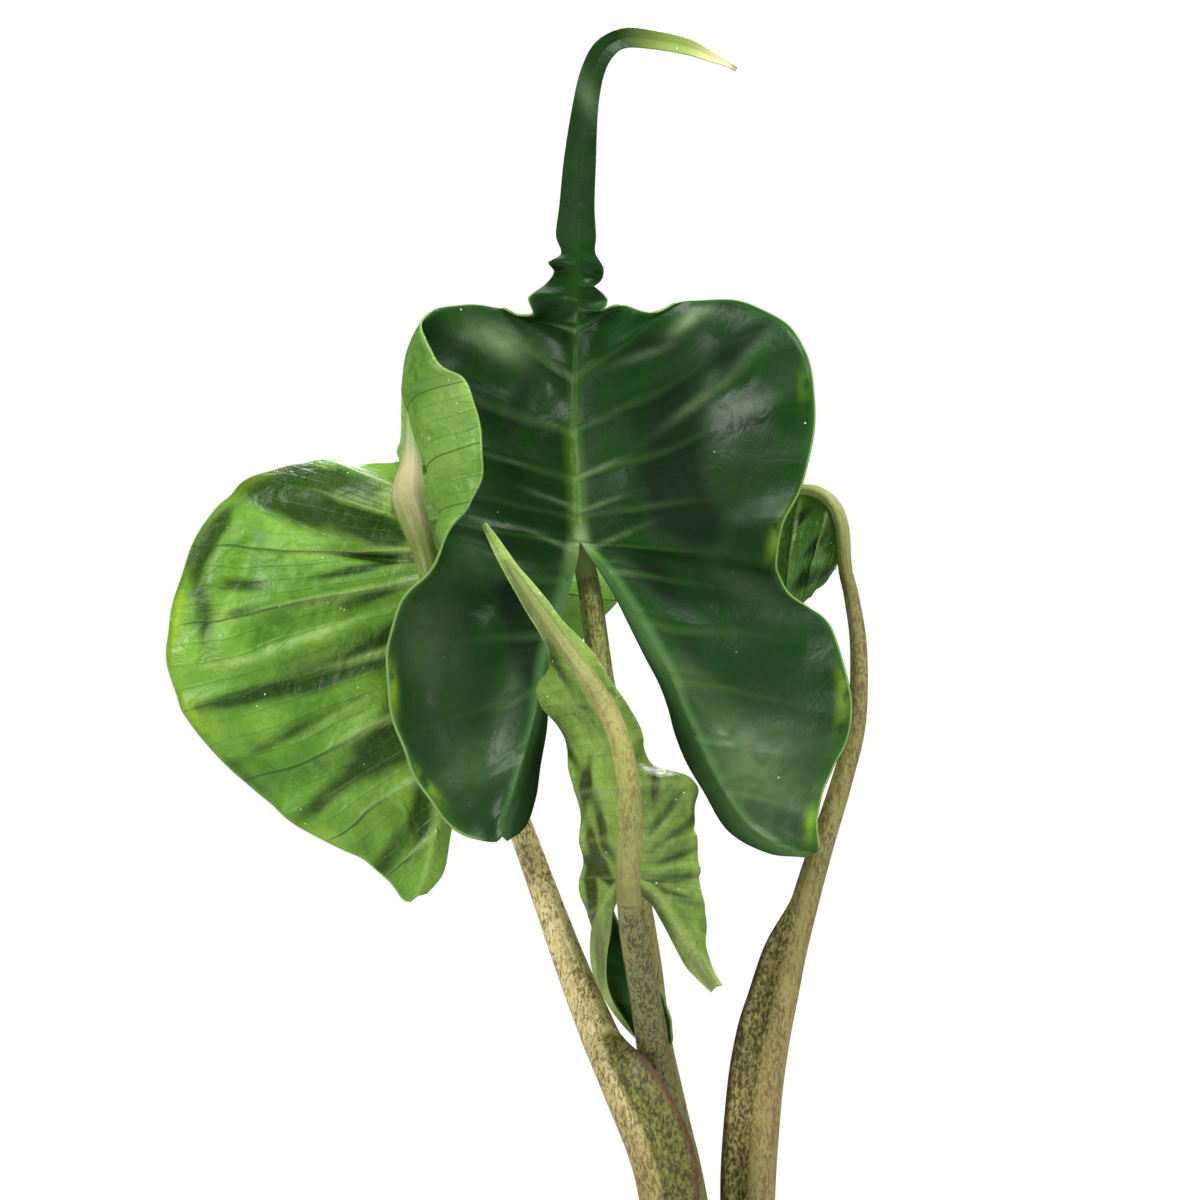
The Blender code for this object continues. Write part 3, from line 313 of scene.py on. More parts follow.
ROLLED_ROWS = [
    ((-59.5, -40, 454), (-65, -32, 451.5, 0, 0, 0), (-54, -34, 456.5, 0, 0, -1)),
    ((-54, -43, 446.5), (-63.5, -30, 444, 0, 0, -5.5), (-48, -34, 449.5, 0, 0, 2.5)),
    ((-48.5, -46, 439), (-58.5, -24, 435.5, 2, 6, -25.5), (-42.5, -32, 441, 0, 0, 2.5)),
    ((-43.5, -48, 431), (-53, -18, 428, 4, 8, -29.5), (-37, -30, 432.5, 0, 0, 2.5)),
    ((-39.5, -50, 423.5), (-49, -14, 420, 4, 10, -28), (-32.5, -28, 425, 0, 2, 3)),
    ((-37, -51, 415.5), (-46.5, -12, 412, 8, 10, -25), (-29, -26, 416.5, 0, 3, 4)),
    ((-35, -51, 405.5), (-46, -10, 402.5, 6, 12, -25.5), (-26, -24, 406, 0, 3, 2.5)),
    ((-33.5, -50, 398), (-45, -9, 394, 4, 12, -24), (-20.5, -16, 400, 0, 6, 25.5)),
    ((-33.5, -49, 387), (-44, -8, 383.5, 4, 12, -21.5), (-20.5, -12, 388.5, 0, 6, 29.5)),
    ((-33.5, -48, 377), (-42.5, -8, 373.5, 4, 12, -22.5), (-19.5, -12, 378.5, 0, 6, 30.5)),
    ((-33.5, -47, 368.5), (-42, -8, 365, 4, 12, -21.5), (-18.5, -12, 369, 0, 6, 30.5)),
    ((-34, -46, 361.5), (-41, -10, 358, 4, 12, -22.5), (-18, -14, 361.5, 0, 6, 29.5)),
]
ROLLED_LEFT_LOBE = [
    ((-39, -43, 357.5), (-40, -10, 349.5, 0, 10, -21), (-37, -42, 356, 0, 0, 0)),
    ((-42.5, -40, 351), (-37, -8, 340.5, 0, 10, -16), (-39.5, -40, 349, 0, 0, 0)),
    ((-46, -37, 343), (-31.5, -8, 330.5, 0, 12, -13.5), (-40.5, -37.5, 340.5, 0, 0, 0)),
    ((-47, -34, 334), (-25, -8, 321.5, 2, 12, -9.5), (-42, -34.5, 331, 0, 0, 0)),
    ((-46, -31, 324.5), (-20.5, -8, 313, 4, 10, -4), (-42, -31, 321.5, 0, 0, 0)),
    ((-42, -24, 314.5), (-17.5, -7, 306, 4, 8, -5), (-39, -24.5, 312.5, 0, 0, 0)),
    ((-36.5, -15, 305), (-16.5, -5, 299.5, 4, 6, -2.5), (-33.5, -16, 303.5, 0, 0, 0)),
    ((-30, -7, 297), (-16.5, -4, 295, 2, 3, 0), (-28, -7, 295, 0, 0, 0)),
    ((-23, -4, 293), (-18, -4, 293, 0, 0, 0), (-21, -4, 291.5, 0, 0, 0)),
]
ROLLED_RIGHT_LOBE = [
    ((-28.5, -44, 359.5), (-15, -16, 354.5, 0, 6, 24), (-31, -42, 357, 0, 0, 0)),
    ((-24, -42, 355), (-11.5, -18, 348, 0, 4, 20), (-24.5, -38, 352, 0, 0, 0)),
    ((-18.5, -40, 347.5), (-8.5, -22, 342, 0, 2, 14.5), (-20, -37, 344.5, 0, 0, 0)),
    ((-14, -38, 339.5), (-5.5, -26, 336, 0, 0, 7), (-15.5, -35, 335.5, 0, 0, 0)),
    ((-9.5, -36, 332), (-3, -30, 330, 0, 0, 3), (-11, -33, 327, 0, 0, 0)),
    ((-5, -34, 325.5), (-1, -32, 325, 0, 0, 1), (-7, -32, 322.5, 0, 0, 0)),
    ((0.5, -33, 318.5), (3, -32, 319, 0, 0, 0), (-1, -32, 316.5, 0, 0, 0)),
]
RIGHT_TAIL = [
    (-1.7, 46, 413, 0.9),
    (-4.1, 48, 420.3, 1.4),
    (-6.5, 50, 430.1, 2.2),
    (-7.3, 53, 441.5, 3),
    (-6.5, 55, 453.8, 3.8),
    (-4, 56, 465.3, 4.6),
    (0.1, 56, 475.9, 5.4),
]
RIGHT_ROWS = [
    ((5, 55, 486.5), (10.5, 50, 483, 0, 0, 0), (5, 64, 484, 0, 0, 0)),
    ((10.5, 53, 494.5), (13.5, 43, 478.5, 0, -4, 0), (12, 76, 486.5, 0, 0, 0)),
    ((16.5, 50, 501.5), (17, 36, 469.5, 0, -6, 0), (20, 86, 482.5, 0, 0, 0)),
    ((23, 47, 507.5), (20, 31, 461.5, 0, -8, 0), (28.5, 90, 479.5, 0, 0, 0)),
    ((30.5, 44, 512), (23.5, 28, 456.5, 0, -8, 0), (37.5, 92, 477, 0, 0, 0)),
    ((37.5, 40, 514.5), (27, 27, 455.5, 0, -8, 0), (45, 88, 475, 0, 0, 0)),
    ((44.5, 36, 513.5), (30.5, 27, 459, 0, -6, 0), (49.5, 80, 479.5, 0, 0, 0)),
    ((49, 33, 508.5), (33.5, 27, 463.5, 0, -4, 0), (51.5, 70, 483.5, 0, 0, 0)),
    ((52, 30, 501.5), (36, 28, 468.5, 0, -2, 0), (52.5, 58, 486, 0, 0, 0)),
    ((53, 29, 494), (39.5, 29, 472.5, 0, 0, 0), (53.5, 46, 486.5, 0, 0, 0)),
    ((53, 28, 488.5), (44, 29, 477.5, 0, 0, 0), (53.5, 37, 485.5, 0, 0, 0)),
]
FRONT_STALK = [
    (-3, 16, 156, 7.5, 0),
    (-4.5, 15.5, 193, 7.4, 0),
    (-9, 14, 229.5, 7.3, 0),
    (-17, 12, 266, 7, 0),
    (-23, 11, 294, 6.8, 0),
    (-27, 10, 326.5, 6.4, 0),
    (-32, 9, 358.5, 6, 0),
    (-37, 9, 394.5, 5.6, 0),
    (-41, 9, 423, 5.2, 0),
    (-44, 9, 437, 5, 0),
    (-46, 9, 451, 4.9, 0),
    (-48, 9.5, 466, 4.8, 0),
    (-49, 9.5, 473.5, 4.7, 0),
]
FRONT_RIB = [
    (-50.2, 8.8, 479.8, 4.5),
    (-51.6, 6.5, 487, 4.3),
    (-53.4, 3.8, 495, 4),
    (-54.2, 3, 505, 3.6),
    (-55, 3, 519.1, 3.3),
    (-55.4, 3.5, 539.1, 3),
    (-55, 4.5, 563.2, 2.6),
    (-54.6, 5.5, 587.3, 2.3),
    (-54.2, 5.5, 611.4, 2),
    (-53.8, 4.3, 629.3, 1.6),
]
LEFT_STALK = [
    (-13, -11, 160, 8.5, 0),
    (-15.5, -19, 197.5, 9, 4),
    (-20.5, -25, 233.5, 9, 8),
    (-25.5, -26, 253.5, 8.8, 11),
    (-35.5, -22, 277, 8.4, 8.5),
    (-41.5, -15, 290, 8, 2.5),
    (-46, -8, 299.5, 7.6, 0),
    (-57, 0, 326, 6.5, 0),
    (-66, 5, 350, 5.7, 0),
    (-75.5, 11, 375.5, 5.2, 0),
    (-86.5, 17, 402.5, 5.2, 0),
    (-97.5, 21, 430.5, 5.2, 0),
    (-107, 23, 459, 5.2, 0),
    (-110.5, 23.5, 471, 5, 0),
]
LEFT_RIB = [
    (-112.9, 24.5, 479.1, 4.9),
    (-115, 26.5, 486.4, 4.8),
    (-117.7, 33, 495.4, 5.4),
    (-120.7, 39, 503.6, 6.2),
    (-123, 45, 511, 6.6),
    (-123.2, 51, 517.7, 6.4),
    (-122.5, 55.5, 524.3, 5),
    (-122.2, 58.5, 532.6, 3.6),
    (-122.7, 60.5, 543.3, 2.6),
    (-122.7, 61.5, 554.1, 2),
]
ROLLED_STALK = [
    (0, 1, 158, 6.8, 0),
    (-4, 0, 195, 6.8, 0),
    (-9, -1, 231, 6.8, 0),
    (-13, -2, 251, 6.8, 0),
    (-18, -5, 267.5, 6.8, 0),
    (-23, -12, 288, 6.7, 0),
    (-27, -28, 313, 6.2, 0),
    (-31.5, -43, 337.5, 5.6, 0),
    (-33.5, -51, 352, 5, 0),
]
ROLLED_RIB = [
    (-34.1, -51.3, 361.6, 4.9),
    (-33.7, -50.5, 373.3, 5),
    (-33.3, -51.5, 385.1, 4.8),
    (-34.1, -52.5, 396.8, 4.6),
    (-35.2, -53, 406.6, 4.5),
    (-37.2, -53, 415.6, 4.3),
    (-40.7, -52, 424.9, 4.1),
    (-45, -50, 433.1, 3.9),
    (-49.7, -47.5, 440.1, 3.6),
    (-55.6, -44.5, 448.3, 3.2),
    (-62.3, -40.5, 457.7, 2.8),
    (-68.6, -37.5, 466.7, 2.4),
    (-74.9, -35, 475.7, 1.9),
    (-79.7, -32.6, 482.8, 1.4),
]
RIGHT_STALK = [
    (17.5, 3, 158, 8, 0),
    (18, 3, 194.5, 8, 3),
    (17.5, 3, 230.5, 7.6, 7),
    (20.5, 4, 270.5, 7.3, 8),
    (24, 5, 294.5, 7, 8),
    (27.5, 6, 310.5, 6.6, 7),
    (32, 8, 330.5, 6.1, 5),
    (37.5, 10, 350.5, 5.6, 0),
    (43.5, 12, 370.5, 5, 0),
    (52.5, 16, 398.5, 4.3, 0),
    (58.5, 20, 422, 3.9, 0),
    (59.5, 24, 451, 3.5, 0),
    (57, 27, 471, 3.1, 0),
    (54.5, 28, 482, 2.9, 0),
]
RIGHT_RIB = [
    (53.8, 27.5, 488, 2.9),
    (53.6, 28, 494.1, 2.9),
    (52.7, 29, 501.8, 2.9),
    (49.9, 31.5, 509.1, 2.9),
    (44.8, 35, 514.1, 2.8),
    (37.6, 39, 515.8, 2.5),
    (30.1, 44, 513, 2.2),
    (22.4, 48, 508.6, 1.9),
    (15.6, 51, 502.5, 1.6),
    (9.5, 54, 495.6, 1.3),
]

# How strong the pale glow is beside the ribs: row numbers, then shares.
FRONT_GLOW = ((0, 17, 20, 22, 24, 28, 41), (0, 0.05, 0.15, 0.4, 0.75, 1.0, 0.5))
LEFT_GLOW = ((0, 10, 17, 29), (0.5, 0.7, 0.8, 0.4))
ROLLED_GLOW = ((0, 10, 29), (0.5, 0.6, 0.5))
RIGHT_GLOW = ((0, 10, 20), (0.5, 0.6, 0.6))

# The marks: lime patches on the margins, patches of painted shade in hollows and creases (some are dark vein
# lines on the rolled blade), pale patches (painted sheen and pale vein marks on the front blade, painted
# light on lit ridges on the others), and swells towards the viewer in millimetres. Each row is (x, z, long
# radius, short radius, turn from +X in degrees, amount).
FRONT_LIME = [
    (35, 555, 10, 3, 80, 0.4),
    (27, 497, 9, 4, 60, 0.9),
    (-127, 435, 10, 4, 85, 1.0),
    (-113, 397, 10, 3, -50, 0.7),
    (49, 431, 14, 4, 75, 0.9),
    (38, 382, 8, 4, 70, 0.9),
    (-125, 471, 10, 3, 60, 0.6),
]
LEFT_LIME = [
    (-218, 464, 12, 5, 82, 1.0),
    (-209, 425, 10, 5, -50, 0.8),
    (-158, 374, 10, 4, -30, 0.6),
    (-184, 520, 14, 3, 20, 0.3),
]
ROLLED_LIME = [
    (-40, 423, 16, 4, -60, 0.5),
]
RIGHT_LIME = []
FRONT_SWELLS = [
    (9, 571, 14, 8, -50, 3.0),
    (-29, 577, 16, 6, 15, 1.6),
    (-27, 523, 24, 10, 80, -3.5),
    (9, 529, 18, 14, 40, 3.0),
    (-9, 551, 20, 4, 35, 1.5),
    (27, 543, 9, 16, 10, 1.5),
    (-87, 571, 13, 8, -30, 3.0),
    (-69, 551, 16, 6, 70, -2.0),
    (-77, 523, 12, 6, 30, 1.6),
    (-97, 463, 12, 20, 10, 2.5),
    (-113, 435, 8, 20, 10, -1.5),
    (-85, 427, 10, 16, -20, -2.4),
    (-93, 395, 16, 10, 20, 2.4),
    (-9, 471, 24, 7, -40, -2.0),
    (11, 451, 24, 10, -35, 3.0),
    (3, 423, 18, 6, -50, -2.2),
    (27, 407, 14, 16, -60, 2.6),
    (35, 451, 12, 8, 60, -1.5),
    (-45, 483, 12, 4, -50, -1.0),
]
LEFT_SWELLS = [
    (-156, 516, 24, 7, -10, 3.0),
    (-168, 502, 32, 4, -22, -4.0),
    (-140, 489, 20, 3, -4, -3.4),
    (-144, 504, 16, 5, -25, 2.2),
    (-203, 483, 24, 6, 62, 2.6),
    (-195, 475, 24, 4, 66, -2.6),
    (-181, 471, 14, 7, 20, 1.6),
    (-156, 455, 32, 4, 18, 2.6),
    (-156, 442, 32, 6, 20, -3.0),
    (-201, 430, 24, 4, 12, 2.2),
    (-148, 413, 28, 5, 35, 2.2),
    (-168, 397, 28, 6, 40, -2.0),
    (-127, 389, 12, 24, -10, 2.6),
    (-140, 368, 16, 5, 60, -1.8),
    (-121, 434, 8, 24, 5, -3.0),
]
ROLLED_SWELLS = [
    (-45, 429, 16, 3, -55, 1.2),
    (-47, 396, 12, 2, -65, -1.4),
    (-43, 372, 10, 2, 60, 1.2),
    (-13, 392, 10, 2, 40, 1.2),
    (-15, 378, 14, 2, 15, -1.4),
    (-13, 364, 14, 2, 0, 1.2),
    (-9, 340, 12, 2, -70, -1.2),
    (-61, 435, 8, 3, -50, -1.2),
]
RIGHT_SWELLS = [
    (43, 500, 10, 2, 50, 1.6),
    (47, 492, 10, 2, 40, -1.6),
    (39, 481, 8, 2, 40, 1.2),
]
# Painted shade in the hollows and folds of the front blade.
FRONT_SHADE = [
    (-105, 555, 6, 4, 60, 0.4),
    (-100, 538, 5, 12, 10, 0.35),
    (-102, 519, 6, 10, -10, 0.45),
    (-108, 503, 5, 8, -20, 0.4),
    (-16, 534, 12, 32, -8, 1.3),
    (12, 574, 14, 6, 40, 0.9),
    (-29, 572, 16, 6, 15, 0.6),
    (-5, 503, 12, 16, 0, 0.8),
    (-21, 477, 18, 6, -40, 0.7),
    (-77, 550, 18, 6, 70, 0.7),
    (-75, 458, 9, 26, 15, 1.2),
    (-95, 550, 6, 12, 0, 0.6),
    (-9, 451, 12, 6, -50, 0.5),
    (-69, 404, 5, 16, -10, 0.6),
    (34, 471, 5, 8, 30, 0.4),
    (26, 435, 14, 3, -40, 0.4),
]
# Painted shade in the hollows and folds of the left blade.
LEFT_SHADE = [
    (-162, 519, 28, 6, -8, 1.2),
    (-203, 500, 24, 16, 40, 0.28),
    (-172, 510, 28, 5, -24, 1.0),
    (-150, 506, 20, 3, -30, 0.9),
    (-135, 500, 16, 6, -20, 1.0),
    (-137, 489, 18, 2, -6, 1.6),
    (-144, 483, 16, 2, 12, 1.0),
    (-204, 494, 16, 4, 60, 1.0),
    (-207, 467, 4, 18, 5, 0.8),
    (-190, 477, 10, 3, -5, 0.9),
    (-191, 466, 9, 2, 10, 0.7),
    (-137, 473, 14, 3, 20, 0.9),
    (-129, 455, 12, 6, 30, 1.2),
    (-150, 443, 31, 6, 22, 1.1),
    (-189, 432, 26, 3, 14, 0.9),
    (-123, 430, 8, 16, 0, 1.5),
    (-133, 411, 14, 10, 40, 1.2),
    (-172, 416, 24, 3, 28, 0.7),
    (-156, 391, 20, 4, 40, 0.9),
    (-117, 385, 6, 16, -10, 1.2),
    (-133, 364, 12, 4, 60, 0.9),
    (-189, 399, 16, 3, -40, 0.5),
    (-183, 524, 20, 2, 14, 0.6),
]
# Painted light on the lit ridges of the left blade's folds.
LEFT_LIT_RIDGES = [
    (-158, 458, 32, 2, 20, 0.6),
    (-150, 472, 24, 2, 16, 0.4),
    (-199, 445, 18, 2, 8, 0.5),
    (-150, 425, 24, 2, 30, 0.5),
    (-164, 489, 24, 2, -12, 0.35),
    (-213, 428, 6, 3, 60, 0.5),
    (-150, 389, 16, 5, -30, 0.3),
    (-156, 376, 12, 4, -30, 0.3),
    (-122, 368, 3, 16, -10, 0.3),
    (-201, 487, 16, 2, 64, 0.35),
    (-131, 512, 6, 4, -60, 0.6),
    (-125, 487, 4, 8, -10, 0.5),
]
# Painted shade in the creases and hollows of the rolled blade, with some dark vein lines among it.
ROLLED_SHADE_AND_VEIN_LINES = [
    (-58, 414, 2, 14, 28, 0.9),
    (-50, 398, 2, 14, -8, 0.9),
    (-61, 444, 10, 2, -60, 0.7),
    (-73, 469, 24, 2, -58, 0.9),
    (-48, 360, 2, 14, 0, 1.0),
    (-45, 371, 11, 2, 112, 1.1),
    (-43, 380, 14, 2, 108, 1.0),
    (-45, 364, 10, 2, 142, 1.1),
    (-16, 370, 12, 2, 18, 0.75),
    (-18, 378, 14, 2, 36, 0.75),
    (-20, 387, 14, 2, 54, 0.75),
    (-16, 362, 12, 2, 2, 0.75),
    (-15, 354, 12, 2, -24, 0.7),
    (-24, 400, 2, 10, 0, 1.0),
    (-9, 392, 2, 12, 0, 0.6),
    (-45, 336, 2, 24, 5, 1.0),
    (-5, 326, 14, 2, -60, 1.0),
    (-27, 310, 3, 14, 5, 1.0),
]
# Painted light on the lit ridges of the rolled blade's folds.
ROLLED_LIT_RIDGES = [
    (-45, 417, 18, 2, -58, 0.4),
    (-43, 392, 2, 16, 5, 0.35),
    (-21, 383, 10, 1, 45, 0.4),
    (-16, 366, 10, 1, 10, 0.4),
    (-46, 447, 16, 2, -52, 0.35),
    (-9, 334, 12, 2, -60, 0.4),
    (-13, 398, 6, 2, 20, 0.4),
]
# Painted shade in the creases of the right blade.
RIGHT_SHADE = [
    (37, 504, 8, 2, 50, 0.9),
    (43, 494, 10, 2, 45, 0.9),
    (49, 483, 8, 2, 30, 0.8),
    (37, 479, 8, 3, 40, 0.8),
]
# Painted sheen and glints on the front blade, and the pale marks where its veins meet the midrib.
FRONT_SHEEN_AND_PALE = [
    (-53, 497, 4, 2, 90, 0.6),
    (-56, 492, 5, 2, 60, 0.5),
    (-50, 492, 5, 2, -60, 0.5),
    (-43, 494, 14, 1, 25, 0.3),
    (-63, 494, 12, 1, 155, 0.3),
    (-46, 509, 10, 1, 20, 0.3),
    (-47, 523, 10, 1, 25, 0.3),
    (-63, 511, 10, 1, 160, 0.3),
    (-85, 574, 14, 6, -20, 0.38),
    (-9, 584, 10, 3, 40, 0.45),
    (16, 570, 14, 2, 50, 0.1),
    (-5, 551, 16, 2, 36, 0.3),
    (13, 548, 12, 3, 20, 0.18),
    (11, 525, 16, 12, 20, 0.04),
    (-29, 569, 12, 2, 20, 0.2),
    (19, 401, 24, 18, -50, 0.28),
    (-5, 435, 24, 6, -45, 0.12),
    (-93, 405, 18, 16, 20, 0.09),
    (-113, 455, 12, 24, 10, 0.16),
    (-83, 431, 5, 16, -20, 0.08),
    (-97, 487, 6, 20, -20, 0.05),
    (-51, 675, 4, 12, 20, 0.22),
    (15, 475, 20, 6, -30, 0.1),
]


class Shader:
    """A Principled material, with short calls that add nodes and give back their output sockets."""

    def __init__(self, name):
        self.material = bpy.data.materials.new(name)
        self.material.use_nodes = True
        self.tree = self.material.node_tree
        self.surface = self.tree.nodes["Principled BSDF"]
        self.place = self.node("TexCoord", {}, "Object")

    def node(self, kind, sockets, output=0, **settings):
        node = self.tree.nodes.new("ShaderNode" + kind)
        for setting, value in settings.items():
            setattr(node, setting, value)
        for key, value in sockets.items():
            if isinstance(value, bpy.types.NodeSocket):
                self.tree.links.new(value, node.inputs[key])
            else:
                node.inputs[key].default_value = value
        return node.outputs[output]

    def value(self, attribute):
        """A named number of the mesh's points."""
        return self.node("Attribute", {}, "Fac", attribute_name=attribute)

    def maths(self, operation, *values):
        return self.node("Math", dict(enumerate(values)), operation=operation)

    def step(self, value, low, high, top=1.0):
        """0 at low and top at high, with a smooth rise between. low may be the larger."""
        ends = {"Value": value, "From Min": low, "From Max": high, "To Max": top}
        return self.node("MapRange", ends, interpolation_type="SMOOTHSTEP")

    def noise(self, scale, detail=3.0, stretch=(1, 1, 1), warp=0.0):
        """Soft noise with scale lumps in a metre, closer together along an axis with a larger stretch."""
        place = self.node("Mapping", {"Vector": self.place, "Scale": stretch})
        settings = {"Vector": place, "Scale": scale, "Detail": detail, "Distortion": warp}
        return self.node("TexNoise", settings)

    def cells(self, scale, feature="F1"):
        return self.node("TexVoronoi", {"Vector": self.place, "Scale": scale}, feature=feature)

    def mix(self, share, one, two):
        """Two colours mixed by a share of the second. Each is a socket or a (red, green, blue)."""
        one, two = ((*tone, 1) if isinstance(tone, tuple) else tone for tone in (one, two))
        return self.node("Mix", {0: share, 6: one, 7: two}, 2, data_type="RGBA")

    def times(self, *values):
        """The product of two or more values."""
        product = values[0]
        for value in values[1:]:
            product = self.maths("MULTIPLY", product, value)
        return product

    def ramp(self, value, stops):
        """A colour for a value from 0 to 1. Each stop is (place, colour)."""
        socket = self.node("ValToRGB", {0: value})
        elements = socket.node.color_ramp.elements
        while len(elements) < len(stops):
            elements.new(0.5)
        for element, (position, colour) in zip(elements, stops):
            element.position = position
            element.color = (*colour, 1)
        return socket

    def finish(self, colour, roughness, heights, specular):
        """Joins colour, roughness and height sockets to the surface. Each height is (socket, mm)."""
        self.tree.links.new(colour, self.surface.inputs["Base Color"])
        if isinstance(roughness, bpy.types.NodeSocket):
            self.tree.links.new(roughness, self.surface.inputs["Roughness"])
        else:
            self.surface.inputs["Roughness"].default_value = roughness
        self.surface.inputs["Specular IOR Level"].default_value = specular
        normal = None
        for height, millimetres in heights:
            sockets = {"Height": height, "Distance": millimetres * MM, "Strength": 1.0}
            if normal:
                sockets["Normal"] = normal
            normal = self.node("Bump", sockets)
        if normal:
            self.tree.links.new(normal, self.surface.inputs["Normal"])
        return self.material


def vein_masks(s, width_at_rib, width_at_edge):
    """A mask of the lateral veins, one along every second row, and one of the finer veins between."""
    wander = s.maths("MULTIPLY_ADD", s.noise(22, 2), 0.7, -0.35)
    row = s.maths("ADD", s.value("row"), wander)
    share = s.value("share")
    width = s.step(share, 0, 0.9, width_at_edge - width_at_rib)
    width = s.maths("ADD", width, width_at_rib)
    off_vein = s.maths("PINGPONG", row, VEIN_SPACING / 2)
    off_vein = s.node("MapRange", {"Value": off_vein, "From Max": width}, interpolation_type="SMOOTHSTEP")
    vein = s.maths("SUBTRACT", 1, off_vein)
    fine = s.maths("PINGPONG", s.maths("MULTIPLY", row, 2), 0.5)
    fine = s.step(fine, 0.12, 0.0)
    clear_of_tail = s.step(s.value("width"), 8, 24)
    return s.times(vein, clear_of_tail), s.times(fine, clear_of_tail)


def upper_material(name, dark, light, vein_colour, glow_colour, marked):
    """A glossy upper face: dark green, paler along the veins and ribs, with painted shade in its hollows and
    patches of painted sheen. marked is how far these painted patches show.
    """
    s = Shader(name)
    vein, fine = vein_masks(s, 0.34, 0.12)
    row, share, rib, edge = (s.value(key) for key in ("row", "share", "rib", "edge"))
    body = s.ramp(s.noise(30, 4, warp=0.6), [(0.32, dark), (0.72, light)])
    body = s.mix(s.step(row, 27, 33, 0.55), body, UPPER_LOBE)
    # Painted shade: the hollows are darkened, and made rougher, where the shade patches lie, broken up by
    # noise.
    shade_and_light_breakup = s.maths("MULTIPLY_ADD", s.noise(60, 3), 1.0, 0.5)
    hollow_shade = s.step(s.times(s.value("shade_and_vein_lines"), marked, shade_and_light_breakup), 0.05, 0.8)
    body = s.mix(hollow_shade, body, UPPER_HOLLOW_SHADE)

    # Veins, and the glow beside the midrib, which is duller on the lobes.
    near_middle = s.step(share, 0.75, 0.05)
    body = s.mix(s.times(fine, near_middle, 0.06), body, vein_colour)
    faint = s.maths("MULTIPLY_ADD", near_middle, 0.36, 0.06)
    body = s.mix(s.times(vein, faint), body, vein_colour)
    glow_tone = s.mix(s.step(row, 28, 31), glow_colour, UPPER_LOBE_GLOW)
    body = s.mix(s.times(s.step(rib, 6.5, 0.8), s.value("glow")), body, glow_tone)
    core = s.times(s.step(rib, 2.6, 0.8), s.value("glow"), s.step(row, 30, 28), 0.5)
    body = s.mix(core, body, s.ramp(s.noise(420, 2, (1, 1, 0.4)), UPPER_RIB_LINE))

    # Pale vein marks and patches of painted sheen, and the lime and light lines along the margin.
    sheen_and_pale = s.maths("MULTIPLY_ADD", s.noise(70, 4, warp=1.5), 1.6 * marked, 0.15 * marked)
    body = s.mix(s.times(s.value("pale"), sheen_and_pale), body, UPPER_SHEEN_AND_PALE)
    ragged = s.step(s.noise(110, 4), 0.30, 0.55)
    lime = s.times(s.value("lime"), s.step(edge, 9, 0.5), ragged)
    body = s.mix(lime, body, UPPER_LIME)
    wide = s.step(s.value("width"), 8, 22)
    body = s.mix(s.times(s.step(edge, 4, 0.3, 0.5), wide), body, UPPER_MARGIN)
    body = s.mix(s.times(s.step(edge, 0.8, 0.3, 0.8), wide), body, UPPER_MARGIN_LINE)

    # The tail turns yellow, then cream, then brown at its tip.
    body = s.mix(s.step(row, 5.4, 3.2, 0.85), body, TAIL_YELLOW)
    body = s.mix(s.step(row, 3.4, 1.5, 0.9), body, TAIL_CREAM)
    body = s.mix(s.step(row, 0.9, 0.2), body, TAIL_BROWN)
    specks = s.times(s.step(s.cells(170), 0.085, 0.05), s.step(s.noise(60, 2), 0.56, 0.62))
    body = s.mix(specks, body, UPPER_SPECK)
    roughness = s.step(s.noise(40, 4), 0.3, 0.75, 0.2)
    roughness = s.maths("ADD", roughness, s.maths("MULTIPLY_ADD", hollow_shade, 0.4, 0.28))
    heights = [
        (s.times(vein, near_middle, -1), 0.5),
        (s.noise(42, 3, warp=0.8), 0.9),
        (s.noise(130, 3, warp=1.0), 0.3),
        (s.noise(900, 3), 0.03),
    ]
    return s.finish(body, roughness, heights, specular=0.13)


